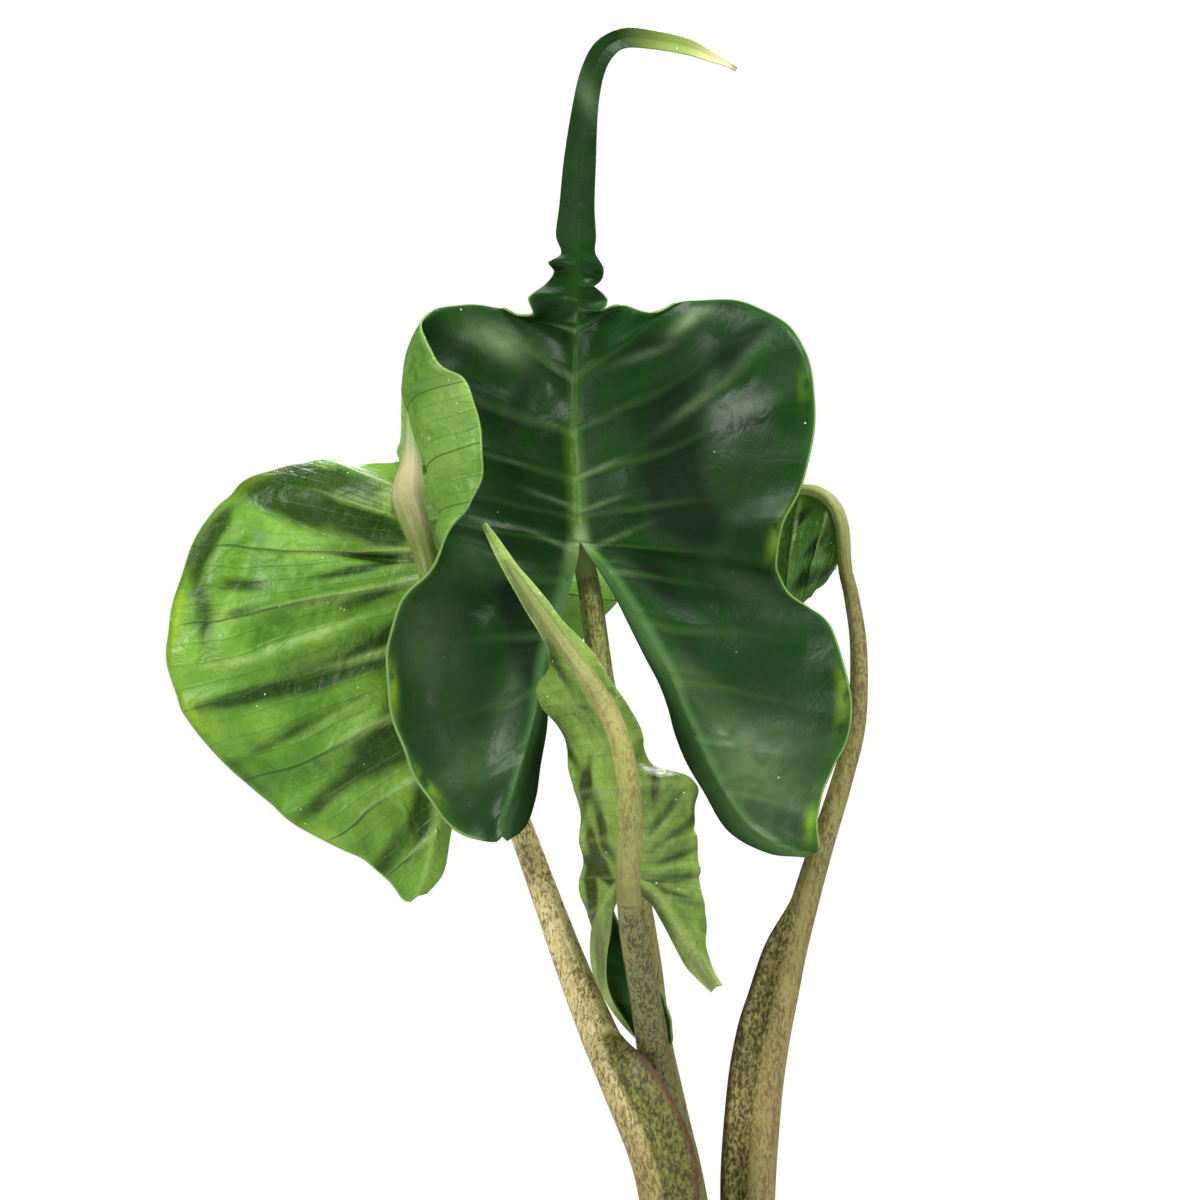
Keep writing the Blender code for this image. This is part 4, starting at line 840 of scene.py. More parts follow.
def under_material(name, dark, light, ridge_colour, line_colour, vein_strength=0.8, marked=1.0):
    """A satin underside: raised pale veins near the rib thin to dark lines, with painted shade in its hollows
    and painted light on the ridges of its folds.
    """
    s = Shader(name)
    vein, fine = vein_masks(s, 0.30, 0.07)
    share, rib, edge = (s.value(key) for key in ("share", "rib", "edge"))
    body = s.ramp(s.noise(24, 4, warp=1.0), [(0.34, dark), (0.66, light)])
    body = s.mix(s.step(s.noise(90, 4, warp=1.5), 0.35, 0.7, 0.5), body, light)
    body = s.mix(s.step(s.noise(13, 3, warp=1.2), 0.48, 0.66, 0.45), body, dark)
    # Painted shade in the hollows and creases, which are also dented, with dark vein lines among it on the
    # rolled blade.
    shade_and_light_breakup = s.maths("MULTIPLY_ADD", s.noise(60, 4, warp=1.5), marked, 0.5 * marked)
    shade_and_vein_lines = s.times(s.value("shade_and_vein_lines"), shade_and_light_breakup)
    shade_and_vein_colour = tuple(0.2 * tone for tone in dark)
    body = s.mix(s.step(shade_and_vein_lines, 0.08, 0.85, 0.92), body, shade_and_vein_colour)
    body = s.mix(s.times(fine, 0.22), body, dark)
    # Painted light: the pale patches lighten the lit ridges of the folds.
    body = s.mix(s.step(s.times(s.value("pale"), shade_and_light_breakup), 0.05, 0.9), body, ridge_colour)

    # A vein is a pale ridge near the rib and a thin dark line further out.
    ridge = s.times(vein, s.step(share, 0.85, 0.15, vein_strength))
    body = s.mix(ridge, body, ridge_colour)
    line = s.times(s.step(vein, 0.55, 0.95), s.step(share, 0.3, 0.7, vein_strength))
    body = s.mix(line, body, line_colour)
    near_rib = s.times(s.step(rib, 7.0, 2.0, 0.75), s.value("glow"))
    body = s.mix(near_rib, body, ridge_colour)

    # The lime and light lines along the margin, the fine net of veins, and light specks.
    ragged = s.step(s.noise(90, 3), 0.25, 0.55)
    lime = s.times(s.value("lime"), s.step(edge, 14, 1), ragged)
    body = s.mix(lime, body, UNDER_LIME)
    body = s.mix(s.step(edge, 0.8, 0.3, 0.7), body, UNDER_MARGIN_LINE)
    net = s.step(s.cells(230, "DISTANCE_TO_EDGE"), 0.10, 0.0, 0.22)
    body = s.mix(net, body, dark)
    specks = s.times(s.step(s.cells(200), 0.10, 0.05), s.step(s.noise(70, 2), 0.5, 0.6))
    body = s.mix(specks, body, UNDER_SPECK)
    roughness = s.maths("ADD", s.step(s.noise(70, 3), 0.3, 0.7, 0.18), 0.36)
    heights = [
        (s.times(vein, s.step(share, 1.0, 0.2, vein_strength)), 0.9),
        (fine, 0.12),
        (s.times(shade_and_vein_lines, -1), 1.0),
        (s.noise(70, 4, warp=1.4), 1.6),
        (s.noise(800, 3), 0.05),
    ]
    return s.finish(body, roughness, heights, specular=0.25)


def flecks(s, body, fleck, amount):
    """Covers a skin with the brown mottling of the stalks: grains, short streaks and dots in groups."""
    group = s.step(s.noise(140, 3, (1, 1, 0.4)), 0.30, 0.56)
    grains = s.step(s.noise(1000, 4, (1, 1, 0.42), 0.5), 0.46, 0.58, 0.9)
    streaks = s.step(s.noise(560, 3, (1, 1, 0.28), 0.8), 0.56, 0.66, 0.8)
    dots = s.times(s.step(s.cells(800), 0.36, 0.2, 0.75), s.step(s.noise(90, 2), 0.40, 0.54))
    for mask in (s.times(grains, group), streaks, dots):
        body = s.mix(s.times(mask, amount), body, fleck)
    return body


def stalk_material(name, low, high, fleck, sheath):
    """Skin of a stalk: a tone that turns greener upwards, brown flecks, and a darker winged sheath."""
    s = Shader(name)
    tone = s.maths("ADD", s.value("up"), s.maths("MULTIPLY_ADD", s.noise(35, 2), 0.4, -0.2))
    body = s.ramp(tone, [(0.15, low), (0.9, high)])
    light = tuple(1.35 * part for part in low)
    body = s.mix(s.step(s.noise(70, 3, (1, 1, 0.25)), 0.40, 0.65, 0.5), body, light)
    body = flecks(s, body, fleck, 0.95)

    # The sheath covers the side of the wing, with a brown edge.
    ragged = s.maths("MULTIPLY_ADD", s.noise(60, 3, (1, 1, 0.35)), 0.8, -0.4)
    turn = s.maths("ADD", s.value("turn"), ragged)
    dark_sheath = tuple(0.28 * part for part in sheath)
    pale_sheath = tuple(1.9 * part for part in sheath)
    grain = s.noise(760, 4, (1, 1, 0.6), 0.5)
    skin = s.ramp(grain, [(0.42, dark_sheath), (0.52, sheath), (0.68, pale_sheath)])
    covered = s.times(s.step(turn, 1.3, 0.95), s.step(s.value("reach"), 0.05, 0.4, 0.92))
    body = s.mix(covered, body, skin)
    edge = s.step(s.maths("ADD", s.value("fin"), s.times(ragged, 0.8)), 0.6, 1.0, 0.9)
    body = s.mix(s.times(edge, s.value("reach")), body, SHEATH_EDGE)
    heights = [(s.noise(260, 2, (1, 1, 0.03)), 0.45), (s.noise(500, 3, (1, 1, 0.5)), 0.18)]
    roughness = s.maths("ADD", s.step(s.noise(80, 2), 0.3, 0.7, 0.2), 0.42)
    return s.finish(body, roughness, heights, 0.3)


def rib_material(name, tones, fleck, amount, reach):
    """Skin of a midrib, through evenly spaced tones to its tip. Its flecks fade out at the reach."""
    s = Shader(name)
    up = s.value("up")
    tone = s.maths("ADD", up, s.maths("MULTIPLY_ADD", s.noise(50, 2), 0.3, -0.15))
    body = s.ramp(tone, [(i / (len(tones) - 1), each) for i, each in enumerate(tones)])
    body = s.mix(s.step(s.noise(90, 4, (1, 1, 0.3)), 0.4, 0.65, 0.3), body, tones[-1])
    spotted = flecks(s, body, fleck, amount)
    body = s.mix(s.step(up, reach, 0.0), body, spotted)
    return s.finish(body, 0.5, [(s.noise(240, 2, (1, 1, 0.15)), 0.4)], 0.3)


def pot_material():
    """Dull black plastic with faint scuffs and dust."""
    s = Shader("nursery_plastic")
    body = s.ramp(s.noise(60, 4), [(0.3, (0.012, 0.012, 0.013)), (0.75, (0.017, 0.018, 0.019))])
    scuffs = s.step(s.noise(140, 5, (1, 1, 0.25), 2.0), 0.62, 0.72, 0.10)
    body = s.mix(scuffs, body, (0.11, 0.11, 0.11))
    body = s.mix(s.step(s.noise(420, 4), 0.56, 0.8, 0.12), body, (0.15, 0.13, 0.10))
    roughness = s.maths("ADD", s.step(s.noise(90, 4), 0.3, 0.7, 0.05), 0.5)
    return s.finish(body, roughness, [(s.noise(1600, 3), 0.05), (s.noise(25, 2), 0.08)], 0.28)


def soil_material():
    """Dark crumbly mix with a few lighter fibres."""
    s = Shader("potting_mix")
    tones = [(0.3, (0.012, 0.008, 0.005)), (0.6, (0.040, 0.024, 0.014)), (0.8, (0.085, 0.055, 0.032))]
    body = s.ramp(s.noise(260, 5), tones)
    fibre = s.step(s.noise(500, 3, (1, 0.15, 1), 3.0), 0.62, 0.7, 0.5)
    body = s.mix(fibre, body, (0.13, 0.08, 0.045))
    return s.finish(body, 0.95, [(s.noise(320, 5), 2.2), (s.cells(420), 0.8)], 0.2)


def crumb_material(name, one, two):
    """A dull crumb, mottled between two tones."""
    s = Shader(name)
    body = s.ramp(s.noise(380, 4), [(0.3, one), (0.7, two)])
    return s.finish(body, 0.9, [(s.noise(900, 3), 0.3)], 0.25)


def crown_material():
    """Brown fibrous skin that turns olive towards the stalks."""
    s = Shader("crown_skin")
    body = s.ramp(s.noise(120, 4, (1, 1, 0.4)), [(0.3, (0.06, 0.037, 0.018)), (0.7, (0.20, 0.135, 0.065))])
    fibres = s.step(s.noise(420, 3, (1, 1, 0.12), 0.8), 0.5, 0.64, 0.6)
    body = s.mix(fibres, body, (0.05, 0.03, 0.016))
    height = s.node("SeparateXYZ", {0: s.place}, "Z")
    body = s.mix(s.step(height, 0.148, 0.158, 0.4), body, (0.16, 0.16, 0.05))
    return s.finish(body, 0.8, [(s.noise(420, 3, (1, 1, 0.06)), 0.9), (s.noise(600, 3), 0.2)], 0.3)


def husk_material():
    """Dry straw-brown skin with dark fibres."""
    s = Shader("dry_husk")
    body = s.ramp(s.noise(90, 4, (1, 1, 0.3)), [(0.3, (0.17, 0.11, 0.05)), (0.7, (0.42, 0.32, 0.17))])
    fibres = s.step(s.noise(520, 3, (1, 1, 0.05)), 0.46, 0.62, 0.8)
    body = s.mix(fibres, body, (0.10, 0.06, 0.03))
    return s.finish(body, 0.75, [(s.noise(520, 3, (1, 1, 0.05)), 0.5)], 0.25)


def floor_material():
    """Pale paper that fades into the white surround towards its rim."""
    s = Shader("pale_floor")
    body = s.ramp(s.noise(3, 2), [(0.3, (0.84, 0.84, 0.84)), (0.7, (0.87, 0.87, 0.87))])
    material = s.finish(body, 0.9, [], 0.1)
    distance = s.node("VectorMath", {0: s.place}, 1, operation="LENGTH")
    clear = s.node("BsdfTransparent", {})
    surface = s.surface.outputs["BSDF"]
    faded = s.node("MixShader", {0: s.step(distance, FLOOR_FADE, FLOOR_RADIUS), 1: surface, 2: clear})
    s.tree.links.new(faded, s.tree.nodes["Material Output"].inputs["Surface"])
    return material


def spline(rows, steps):
    """Rows of a smooth curve through every given row of numbers, with steps between each two."""
    rows = np.array(rows, float)
    ends = np.vstack([2 * rows[0] - rows[1], rows, 2 * rows[-1] - rows[-2]])
    curve = []
    for a, b, c, d in zip(ends, ends[1:], ends[2:], ends[3:]):
        for t in np.arange(steps) / steps:
            bend = (2 * a - 5 * b + 4 * c - d) * t**2 + (3 * b - a - 3 * c + d) * t**3
            curve.append(b + ((c - a) * t + bend) / 2)
    curve.append(rows[-1])
    return np.array(curve)


def across(ribs, ends, shares):
    """A grid of points between rib points and margin ends, along the curves that the ends describe."""
    margins = ends[:, :3]
    near = ribs + (margins - ribs) / 3
    near[:, 0] += ends[:, 5] / 2
    near[:, 1] += ends[:, 3] * CURVE_PULL
    far = ribs + (margins - ribs) * 2 / 3
    far[:, 0] += ends[:, 5]
    far[:, 1] += ends[:, 4] * CURVE_PULL
    v = np.array(shares)[None, :, None]
    ribs, near, far, margins = (points[:, None, :] for points in (ribs, near, far, margins))
    return (1 - v) ** 3 * ribs + 3 * v * (1 - v) ** 2 * near + 3 * v**2 * (1 - v) * far + v**3 * margins


def tail_rows(tail, towards_upper):
    """Blade rows for the tail. Its two margins run beside its midrib, a little towards its upper face."""
    path = np.array([row[:3] for row in tail], float)
    along = np.gradient(path, axis=0)
    rows = []
    for (x, y, z, half), (dx, _, dz) in zip(tail, along):
        length = math.hypot(dx, dz)
        out_x, out_z = half * dz / length, -half * dx / length
        edge_y = y + towards_upper * TAIL_CHANNEL * abs(half)
        rows.append((
            (x, y, z),
            (x + out_x, edge_y, z + out_z, 0, 0, 0),
            (x - out_x, edge_y, z - out_z, 0, 0, 0),
        ))
    return rows


def grid_normals(grid):
    """A unit normal for each point of a grid of points."""
    down = np.gradient(grid, axis=0)
    out = np.gradient(grid, axis=1)
    normals = np.cross(out, down)
    lengths = np.linalg.norm(normals, axis=2, keepdims=True)
    return normals / np.maximum(lengths, LOWEST_LENGTH)


def relief(rows, shares, seed):
    """How far a grid's points stand off the plain surface: quilting between veins, waves, edge ripples."""
    draws = np.random.default_rng(seed)
    rows = rows[:, None]
    v = np.array(shares)[None, :]
    # The quilting is highest between two veins and lower towards the margin.
    quilt = np.abs(np.sin(math.pi * rows / VEIN_SPACING)) ** 1.2 - 0.6
    quilt = QUILT_HEIGHT * quilt * np.sin(math.pi * np.minimum(0.04 + v * 1.05, 1)) ** 0.6 * (1 - 0.5 * v)
    waves = 0
    for _ in range(WAVES):
        pace, reach, start = draws.uniform(0.35, 1.3), draws.uniform(2, 7), draws.uniform(*PHASES)
        waves = waves + WAVE_HEIGHT * np.sin(rows * pace * 2 + v * reach + start)
    waves = waves * np.sin(math.pi * np.minimum(v * 0.9, 1)) ** 0.6
    ripple = RIPPLE_HEIGHT * np.sin(rows * RIPPLE_PACE + start) * v**5
    return quilt + waves + ripple


def patches(points, rows):
    """The sum of soft oval patches at points, by their place in the picture plane."""
    total = np.zeros(points.shape[:-1])
    for x, z, long, short, turn, amount in rows:
        turn = math.radians(turn)
        over, up = points[..., 0] - x, points[..., 2] - z
        along = (over * math.cos(turn) + up * math.sin(turn)) / long
        off = (up * math.cos(turn) - over * math.sin(turn)) / short
        total += amount * np.exp(-(along**2) - off**2)
    return total


def grid_faces(rows, columns, first=0):
    """Faces of a grid of points that are numbered row by row from first."""
    faces = []
    for i in range(rows - 1):
        for j in range(columns - 1):
            a = first + i * columns + j
            faces.append((a, a + 1, a + columns + 1, a + columns))
    return faces


def ringed(name, points, sides):
    """A closed mesh over rings of points, in millimetres, with a flat face on the first and last ring."""
    faces = []
    for low in range(0, len(points) - sides, sides):
        for i in range(sides):
            after = (i + 1) % sides
            faces.append((low + i, low + after, low + sides + after, low + sides + i))
    faces.append(tuple(range(sides))[::-1])
    faces.append(tuple(range(len(points) - sides, len(points))))
    mesh = bpy.data.meshes.new(name)
    mesh.from_pydata((np.array(points) * MM).tolist(), [], faces)
    mesh.shade_smooth()
    mesh.set_sharp_from_angle(angle=SHARP_ON_BARS)
    return mesh


def mesh_from(bm, name):
    """Turns an edit mesh into a finished one."""
    mesh = bpy.data.meshes.new(name)
    bm.to_mesh(mesh)
    bm.free()
    return mesh


def store(mesh, values):
    """Keeps named numbers for each point of a mesh, for its material to read."""
    for key, numbers in values.items():
        layer = mesh.attributes.new(key, "FLOAT", "POINT")
        layer.data.foreach_set("value", numbers)


def thickened(piece, thickness, offset):
    """Gives a sheet its thickness in millimetres. offset is 0 for both sides and -1 for the back alone."""
    thick = piece.modifiers.new("thickness", "SOLIDIFY")
    thick.thickness = thickness * MM
    thick.offset = offset
    return thick


def linked(name, data):
    """A new object in the scene."""
    item = bpy.data.objects.new(name, data)
    bpy.context.scene.collection.objects.link(item)
    return item


class Sheet:
    """Collects grids of points into one mesh, with named values for each point."""

    NAMES = ("row", "share", "rib", "ridge", "edge", "width", "glow", "lime", "shade_and_vein_lines", "pale")

    def __init__(self):
        self.points = []
        self.faces = []
        self.values = {name: [] for name in self.NAMES}

    def add(self, grid, values, flip):
        first = len(self.points)
        rows, columns = grid.shape[:2]
        self.points += grid.reshape(-1, 3).tolist()
        for name in self.NAMES:
            self.values[name] += np.broadcast_to(values[name], (rows, columns)).reshape(-1).tolist()
        for corners in grid_faces(rows, columns, first):
            self.faces.append(corners[::-1] if flip else corners)

    def mesh(self, name):
        mesh = bpy.data.meshes.new(name)
        mesh.from_pydata((np.array(self.points) * MM).tolist(), [], self.faces)
        store(mesh, self.values)
        bm = bmesh.new()
        bm.from_mesh(mesh)
        bmesh.ops.remove_doubles(bm, verts=bm.verts, dist=MERGE_DISTANCE * MM)
        bm.to_mesh(mesh)
        bm.free()
        mesh.shade_smooth()
        return mesh


def place(name, mesh, materials, node, slot):
    """Puts a finished piece into the scene, riding on the plant, in place of its CAD node if it has one."""
    piece = linked(name, mesh)
    for material in materials:
        mesh.materials.append(material)
    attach(piece, "root")
    if node:
        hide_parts(node)
    return piece


def blade(name, tail, body, lobes, faces_front, marks, materials, slot, seed):
    """A leaf blade: its rows made fine, quilted between the veins, and thickened to its underside."""
    towards_upper = -1 if faces_front else 1
    rows = tail_rows(tail, towards_upper) + body
    sheet = Sheet()
    main_rib = spline([row[0] for row in rows], ROW_STEPS)
    for side, lobe in enumerate(lobes):
        outer_ends = [row[1 + side] for row in rows] + [row[1] for row in lobe]
        numbers = np.arange((len(outer_ends) - 1) * ROW_STEPS + 1) / ROW_STEPS
        ribs = main_rib
        if lobe:
            lobe_rib = spline([rows[-1][0]] + [row[0] for row in lobe], ROW_STEPS)
            ribs = np.vstack([main_rib, lobe_rib[1:]])
        ends = spline(outer_ends, ROW_STEPS)
        add_half(sheet, ribs, ends, ACROSS, numbers, side == 0, marks, seed + side)
        if lobe:
            start = (*rows[-1][0], 0, 0, 0)
            inner_ends = spline([start] + [row[2] for row in lobe], ROW_STEPS)
            numbers = numbers[-len(lobe_rib):]
            add_half(sheet, lobe_rib, inner_ends, ACROSS_INNER, numbers, side == 1, marks, seed + 2 + side)
    mesh = sheet.mesh(name)
    if faces_front:
        mesh.flip_normals()
    piece = place(name, mesh, materials, name, slot)
    thicken(piece)
    return piece


def add_half(sheet, ribs, ends, shares, numbers, flip, marks, seed):
    """Adds one half of a blade, from its rib to one margin, with its puckers and its named values."""
    plain = across(ribs, ends, shares)
    steps = np.linalg.norm(np.diff(plain, axis=1), axis=2)
    from_rib = np.hstack([np.zeros((len(plain), 1)), np.cumsum(steps, axis=1)])
    width = from_rib[:, -1:]
    room = np.clip((width - NO_PUCKER_WIDTH) / FULL_PUCKER_WIDTH, 0, 1)
    clear_of_rib = np.minimum(from_rib / RIB_SPREAD, 1)
    height = (relief(numbers, shares, seed) - patches(plain, marks["swells"])) * room * clear_of_rib
    normals = grid_normals(plain)
    if flip:
        normals = -normals
    grid = plain + normals * height[:, :, None]
    last = numbers[-1]
    ridge = np.interp(numbers, (0, TAIL_RIB_ROWS, last - LOBE_RIB_ROWS, last), (0, 1, 1, 0))[:, None]
    values = {
        "row": numbers[:, None],
        "share": np.array(shares)[None, :],
        "rib": from_rib,
        "ridge": ridge * np.clip(1 - from_rib / RIB_SPREAD, 0, 1),
        "edge": width - from_rib,
        "width": width,
        "glow": np.interp(numbers, *marks["glow"])[:, None],
        "lime": patches(plain, marks["lime"]),
        # The patches of painted shade, and the pale patches, which are painted light for the most part.
        "shade_and_vein_lines": patches(plain, marks["shade_and_vein_lines"]),
        "pale": patches(plain, marks["pale"]),
    }
    sheet.add(grid, values, flip)


def thicken(piece):
    """Gives a blade its thickness, more along the ribs, with its underside in the second material."""
    weights = np.empty(len(piece.data.vertices))
    piece.data.attributes["ridge"].data.foreach_get("value", weights)
    group = piece.vertex_groups.new(name="ribs")
    for i, weight in enumerate(weights):
        group.add([i], float(weight), "REPLACE")
    thick = thickened(piece, RIB_THICKNESS, -1)
    thick.vertex_group = group.name
    thick.thickness_vertex_group = BLADE_THICKNESS / RIB_THICKNESS
    thick.material_offset = 1
    thick.material_offset_rim = 0


def frames_along(path):
    """For each point of a path: two directions square to it that turn no more than they must."""
    along = np.gradient(path, axis=0)
    along /= np.linalg.norm(along, axis=1)[:, None]
    side = np.cross((0, 1, 0), along[0])
    frames = []
    for direction in along:
        side = side - direction * (side @ direction)
        side = side / np.linalg.norm(side)
        frames.append((side, np.cross(direction, side)))
    return frames


def round_bar(name, rows, bottom, fin_turn, material, node, slot):
    """A bar along rows of (x, y, z, radius, reach of the wing), with a thin wing on the side at fin_turn."""
    rows = spline(rows, STALK_STEPS)
    turns = np.arange(STALK_SIDES) * 2 * math.pi / STALK_SIDES
    off_fin = np.abs((turns - fin_turn + math.pi) % (2 * math.pi) - math.pi)
    fin = np.exp(-((off_fin / WING_HALF_TURN) ** 2))
    flutes = sum(depth * np.cos(turns * count + start) for count, start, depth in FLUTES)
    points = []
    values = {"fin": [], "turn": [], "reach": [], "up": []}
    for i, (row, (side, front)) in enumerate(zip(rows, frames_along(rows[:, :3]))):
        reach = max(row[4], 0)
        radii = row[3] * (1 + flutes - FLUTE_INSET) + reach * fin
        ring = row[:3] + radii[:, None] * (np.cos(turns)[:, None] * side + np.sin(turns)[:, None] * front)
        if i == 0:
            ring[:, 2] = bottom
        if i == len(rows) - 1:
            ring[:, 2] = row[2]
        points += ring.tolist()
        values["fin"] += fin.tolist()
        values["turn"] += off_fin.tolist()
        values["reach"] += [min(reach / FULL_WING, 1)] * STALK_SIDES
        values["up"] += [i / (len(rows) - 1)] * STALK_SIDES
    mesh = ringed(name, points, STALK_SIDES)
    store(mesh, values)
    place(name, mesh, [material], node, slot)


def stalk(name, rows, fin_turn, material, slot):
    """A leaf's stalk, which stands on the crown."""
    round_bar(name, rows, CROWN_TOP + GAP, fin_turn, material, name, slot)


def midrib(name, stalk_top, rows, material, slot, sink=0.0):
    """The round rib on a blade's underside, from just above its stalk, sunk away from the upper face."""
    x, y, z, radius, _ = stalk_top
    path = [(x, y, z + GAP, radius, 0)]
    for x, y, z, radius in rows:
        path.append((x, y + sink, z, radius, 0))
    last, before = np.array(path[-1][:3]), np.array(path[-2][:3])
    path.append((*(last + (last - before) * RIB_TIP_REACH), RIB_TIP_RADIUS, 0))
    round_bar(name, path, stalk_top[2] - RIB_OVERLAP, 0, material, None, slot)


def turned(profile, sides, wobble=None):
    """A closed mesh turned round Z from (radius, z) points that start and end on the axis, in millimetres."""
    bm = bmesh.new()
    turn = 2 * math.pi / sides
    loops = []
    for radius, z in profile:
        if radius == 0:
            loops.append([bm.verts.new((0, 0, z * MM))] * sides)
            continue
        loop = []
        for i in range(sides):
            r = radius + (wobble(i * turn, z) if wobble else 0)
            loop.append(bm.verts.new((r * MM * math.cos(i * turn), r * MM * math.sin(i * turn), z * MM)))
        loops.append(loop)
    for low, high in zip(loops, loops[1:]):
        for i in range(sides):
            after = (i + 1) % sides
            bm.faces.new(tuple(dict.fromkeys((low[i], low[after], high[after], high[i]))))
    bmesh.ops.recalc_face_normals(bm, faces=bm.faces)
    mesh = mesh_from(bm, "turned")
    mesh.shade_smooth()
    mesh.set_sharp_from_angle(angle=SHARP_ON_TURNED)
    return mesh


def outer_radius(z):
    """Radius of the pot's outer wall at a height, under the lip."""
    return POT_FOOT_RADIUS + (POT_TOP_RADIUS - POT_LIP_WIDTH - POT_FOOT_RADIUS) * z / POT_HEIGHT


def inner_radius(z):
    """Radius of the pot's inner wall at a height."""
    return outer_radius(z) - POT_WALL


def pot():
    """The pot's turned shell with a rounded lip, two fine rings under it, and its drain holes."""
    under_lip = POT_HEIGHT - POT_LIP_DROP
    outer = [(0, 0)] + [(POT_FOOT_RADIUS + out, z) for out, z in POT_FOOT_BEND]
    for z in np.linspace(POT_PLAIN_ENDS, under_lip - POT_PLAIN_ENDS, POT_OUTER_ROWS):
        outer.append((outer_radius(z), z))
    for below in POT_RINGS_BELOW_LIP:
        for up, rise in POT_RING_BEND:
            z = under_lip - below + up
            outer.append((outer_radius(z) + rise, z))
    outer.append((outer_radius(under_lip), under_lip))
    outer += [(POT_TOP_RADIUS + out, under_lip + up) for out, up in POT_LIP_UNDER_BEND]
    outer += [(POT_TOP_RADIUS + out, POT_HEIGHT + up) for out, up in POT_LIP_TOP_BEND]
    inner = [(inner_radius(POT_HEIGHT) + out, POT_HEIGHT + up) for out, up in POT_RIM_BEND]
    for z in np.linspace(POT_HEIGHT - POT_PLAIN_ENDS, POT_FLOOR + POT_CORNER_HEIGHT, POT_INNER_ROWS):
        inner.append((inner_radius(z), z))
    inner += [(inner_radius(POT_FLOOR) - POT_CORNER_WIDTH, POT_FLOOR), (0, POT_FLOOR)]
    piece = place("pot_shell", turned(outer + inner, TURNED_SIDES), [pot_material()], "pot", "pot")
    cutters = [drain_cutter(2 * math.pi * (i + 0.5) / DRAIN_HOLES) for i in range(DRAIN_HOLES)]
    for cutter in cutters:
        cut = piece.modifiers.new(cutter.name, "BOOLEAN")
        cut.operation = "DIFFERENCE"
        cut.object = cutter
    bpy.context.view_layer.update()
    whole = bpy.data.meshes.new_from_object(piece.evaluated_get(bpy.context.evaluated_depsgraph_get()))
    piece.modifiers.clear()
    piece.data = whole
    for cutter in cutters:
        bpy.data.objects.remove(cutter)


def drain_cutter(turn):
    """A plug that cuts the drain hole at a turn round the pot's axis."""
    top = POT_FLOOR + DRAIN_OVERCUT
    profile = [(0, -DRAIN_OVERCUT), (DRAIN_HOLE_RADIUS, -DRAIN_OVERCUT), (DRAIN_HOLE_RADIUS, top), (0, top)]
    cutter = linked("drain_cutter", turned(profile, DRAIN_SIDES))
    out = DRAIN_RING_RADIUS * MM
    cutter.location = (out * math.cos(turn), out * math.sin(turn), 0)
    return cutter


def crown_radius(z):
    """Radius of the short thick stem at a height."""
    share = (CROWN_TOP - z) / (CROWN_TOP - SOIL_TOP + CROWN_DEPTH)
    return CROWN_RADIUS * (1 - CROWN_NARROWING * share**2)


def crown():
    """The short thick stem, with the stepped rings that older leaves left on it."""
    bottom = SOIL_TOP - CROWN_DEPTH
    profile = [(0, bottom), (crown_radius(bottom), bottom)]
    for z in np.linspace(SOIL_TOP, CROWN_TOP - CROWN_EDGE, CROWN_ROWS):
        ring = (z - SOIL_TOP) / (CROWN_TOP - SOIL_TOP) * CROWN_SCARS
        step = CROWN_SCAR_DEPTH * (ring % 1) ** 2
        profile.append((crown_radius(z) - step, z))
    profile.append((CROWN_RADIUS - CROWN_EDGE / 3, CROWN_TOP - CROWN_EDGE / 4))
    profile += [(CROWN_RADIUS - CROWN_EDGE, CROWN_TOP), (0, CROWN_TOP)]

    def wobble(turn, z):
        return CROWN_WOBBLE * math.sin(turn * 9 + z * 0.7) * math.sin(turn * 4 + 1) - CROWN_INSET

    place("crown_stem", turned(profile, CROWN_SIDES, wobble), [crown_material()], "crown", "crown")


def husks():
    """Dry creased scraps of old leaf sheaths round the crown, which lean outwards and are torn at the top."""
    draws = np.random.default_rng(HUSK_SEED)
    material = husk_material()
    t = np.linspace(0, 1, HUSK_ROWS)[:, None]
    s = np.linspace(-1, 1, HUSK_COLUMNS)[None, :]
    for i in range(HUSKS):
        middle = 2 * math.pi * i / HUSKS + draws.uniform(-0.2, 0.2)
        bottom, top = draws.uniform(*HUSK_BOTTOMS), draws.uniform(*HUSK_TOPS)
        torn = draws.uniform(*HUSK_TEARS, HUSK_COLUMNS)[None, :] + 0.5 * s**2
        half = draws.uniform(*HUSK_HALF_TURNS) * (1 - 0.3 * t)
        turn = middle + half * s + draws.uniform(-0.15, 0.15) * t
        radius = CROWN_RADIUS + CROWN_INSET + HUSK_LAYER * (i % 2) + draws.uniform(*HUSK_LEANS) * t**2
        radius = radius + HUSK_CREASE * np.sin(s * draws.uniform(5, 9) + 3 * t) + 0.8 * t * s**2
        z = bottom + (top - bottom) * t * (1 - torn)
        points = np.stack([radius * np.cos(turn), radius * np.sin(turn), z], axis=2).reshape(-1, 3)
        mesh = bpy.data.meshes.new(f"husk_{i}")
        mesh.from_pydata((points * MM).tolist(), [], grid_faces(HUSK_ROWS, HUSK_COLUMNS))
        mesh.shade_smooth()
        thickened(place(f"husk_{i}", mesh, [material], None, "crown"), HUSK_THICKNESS, 0)


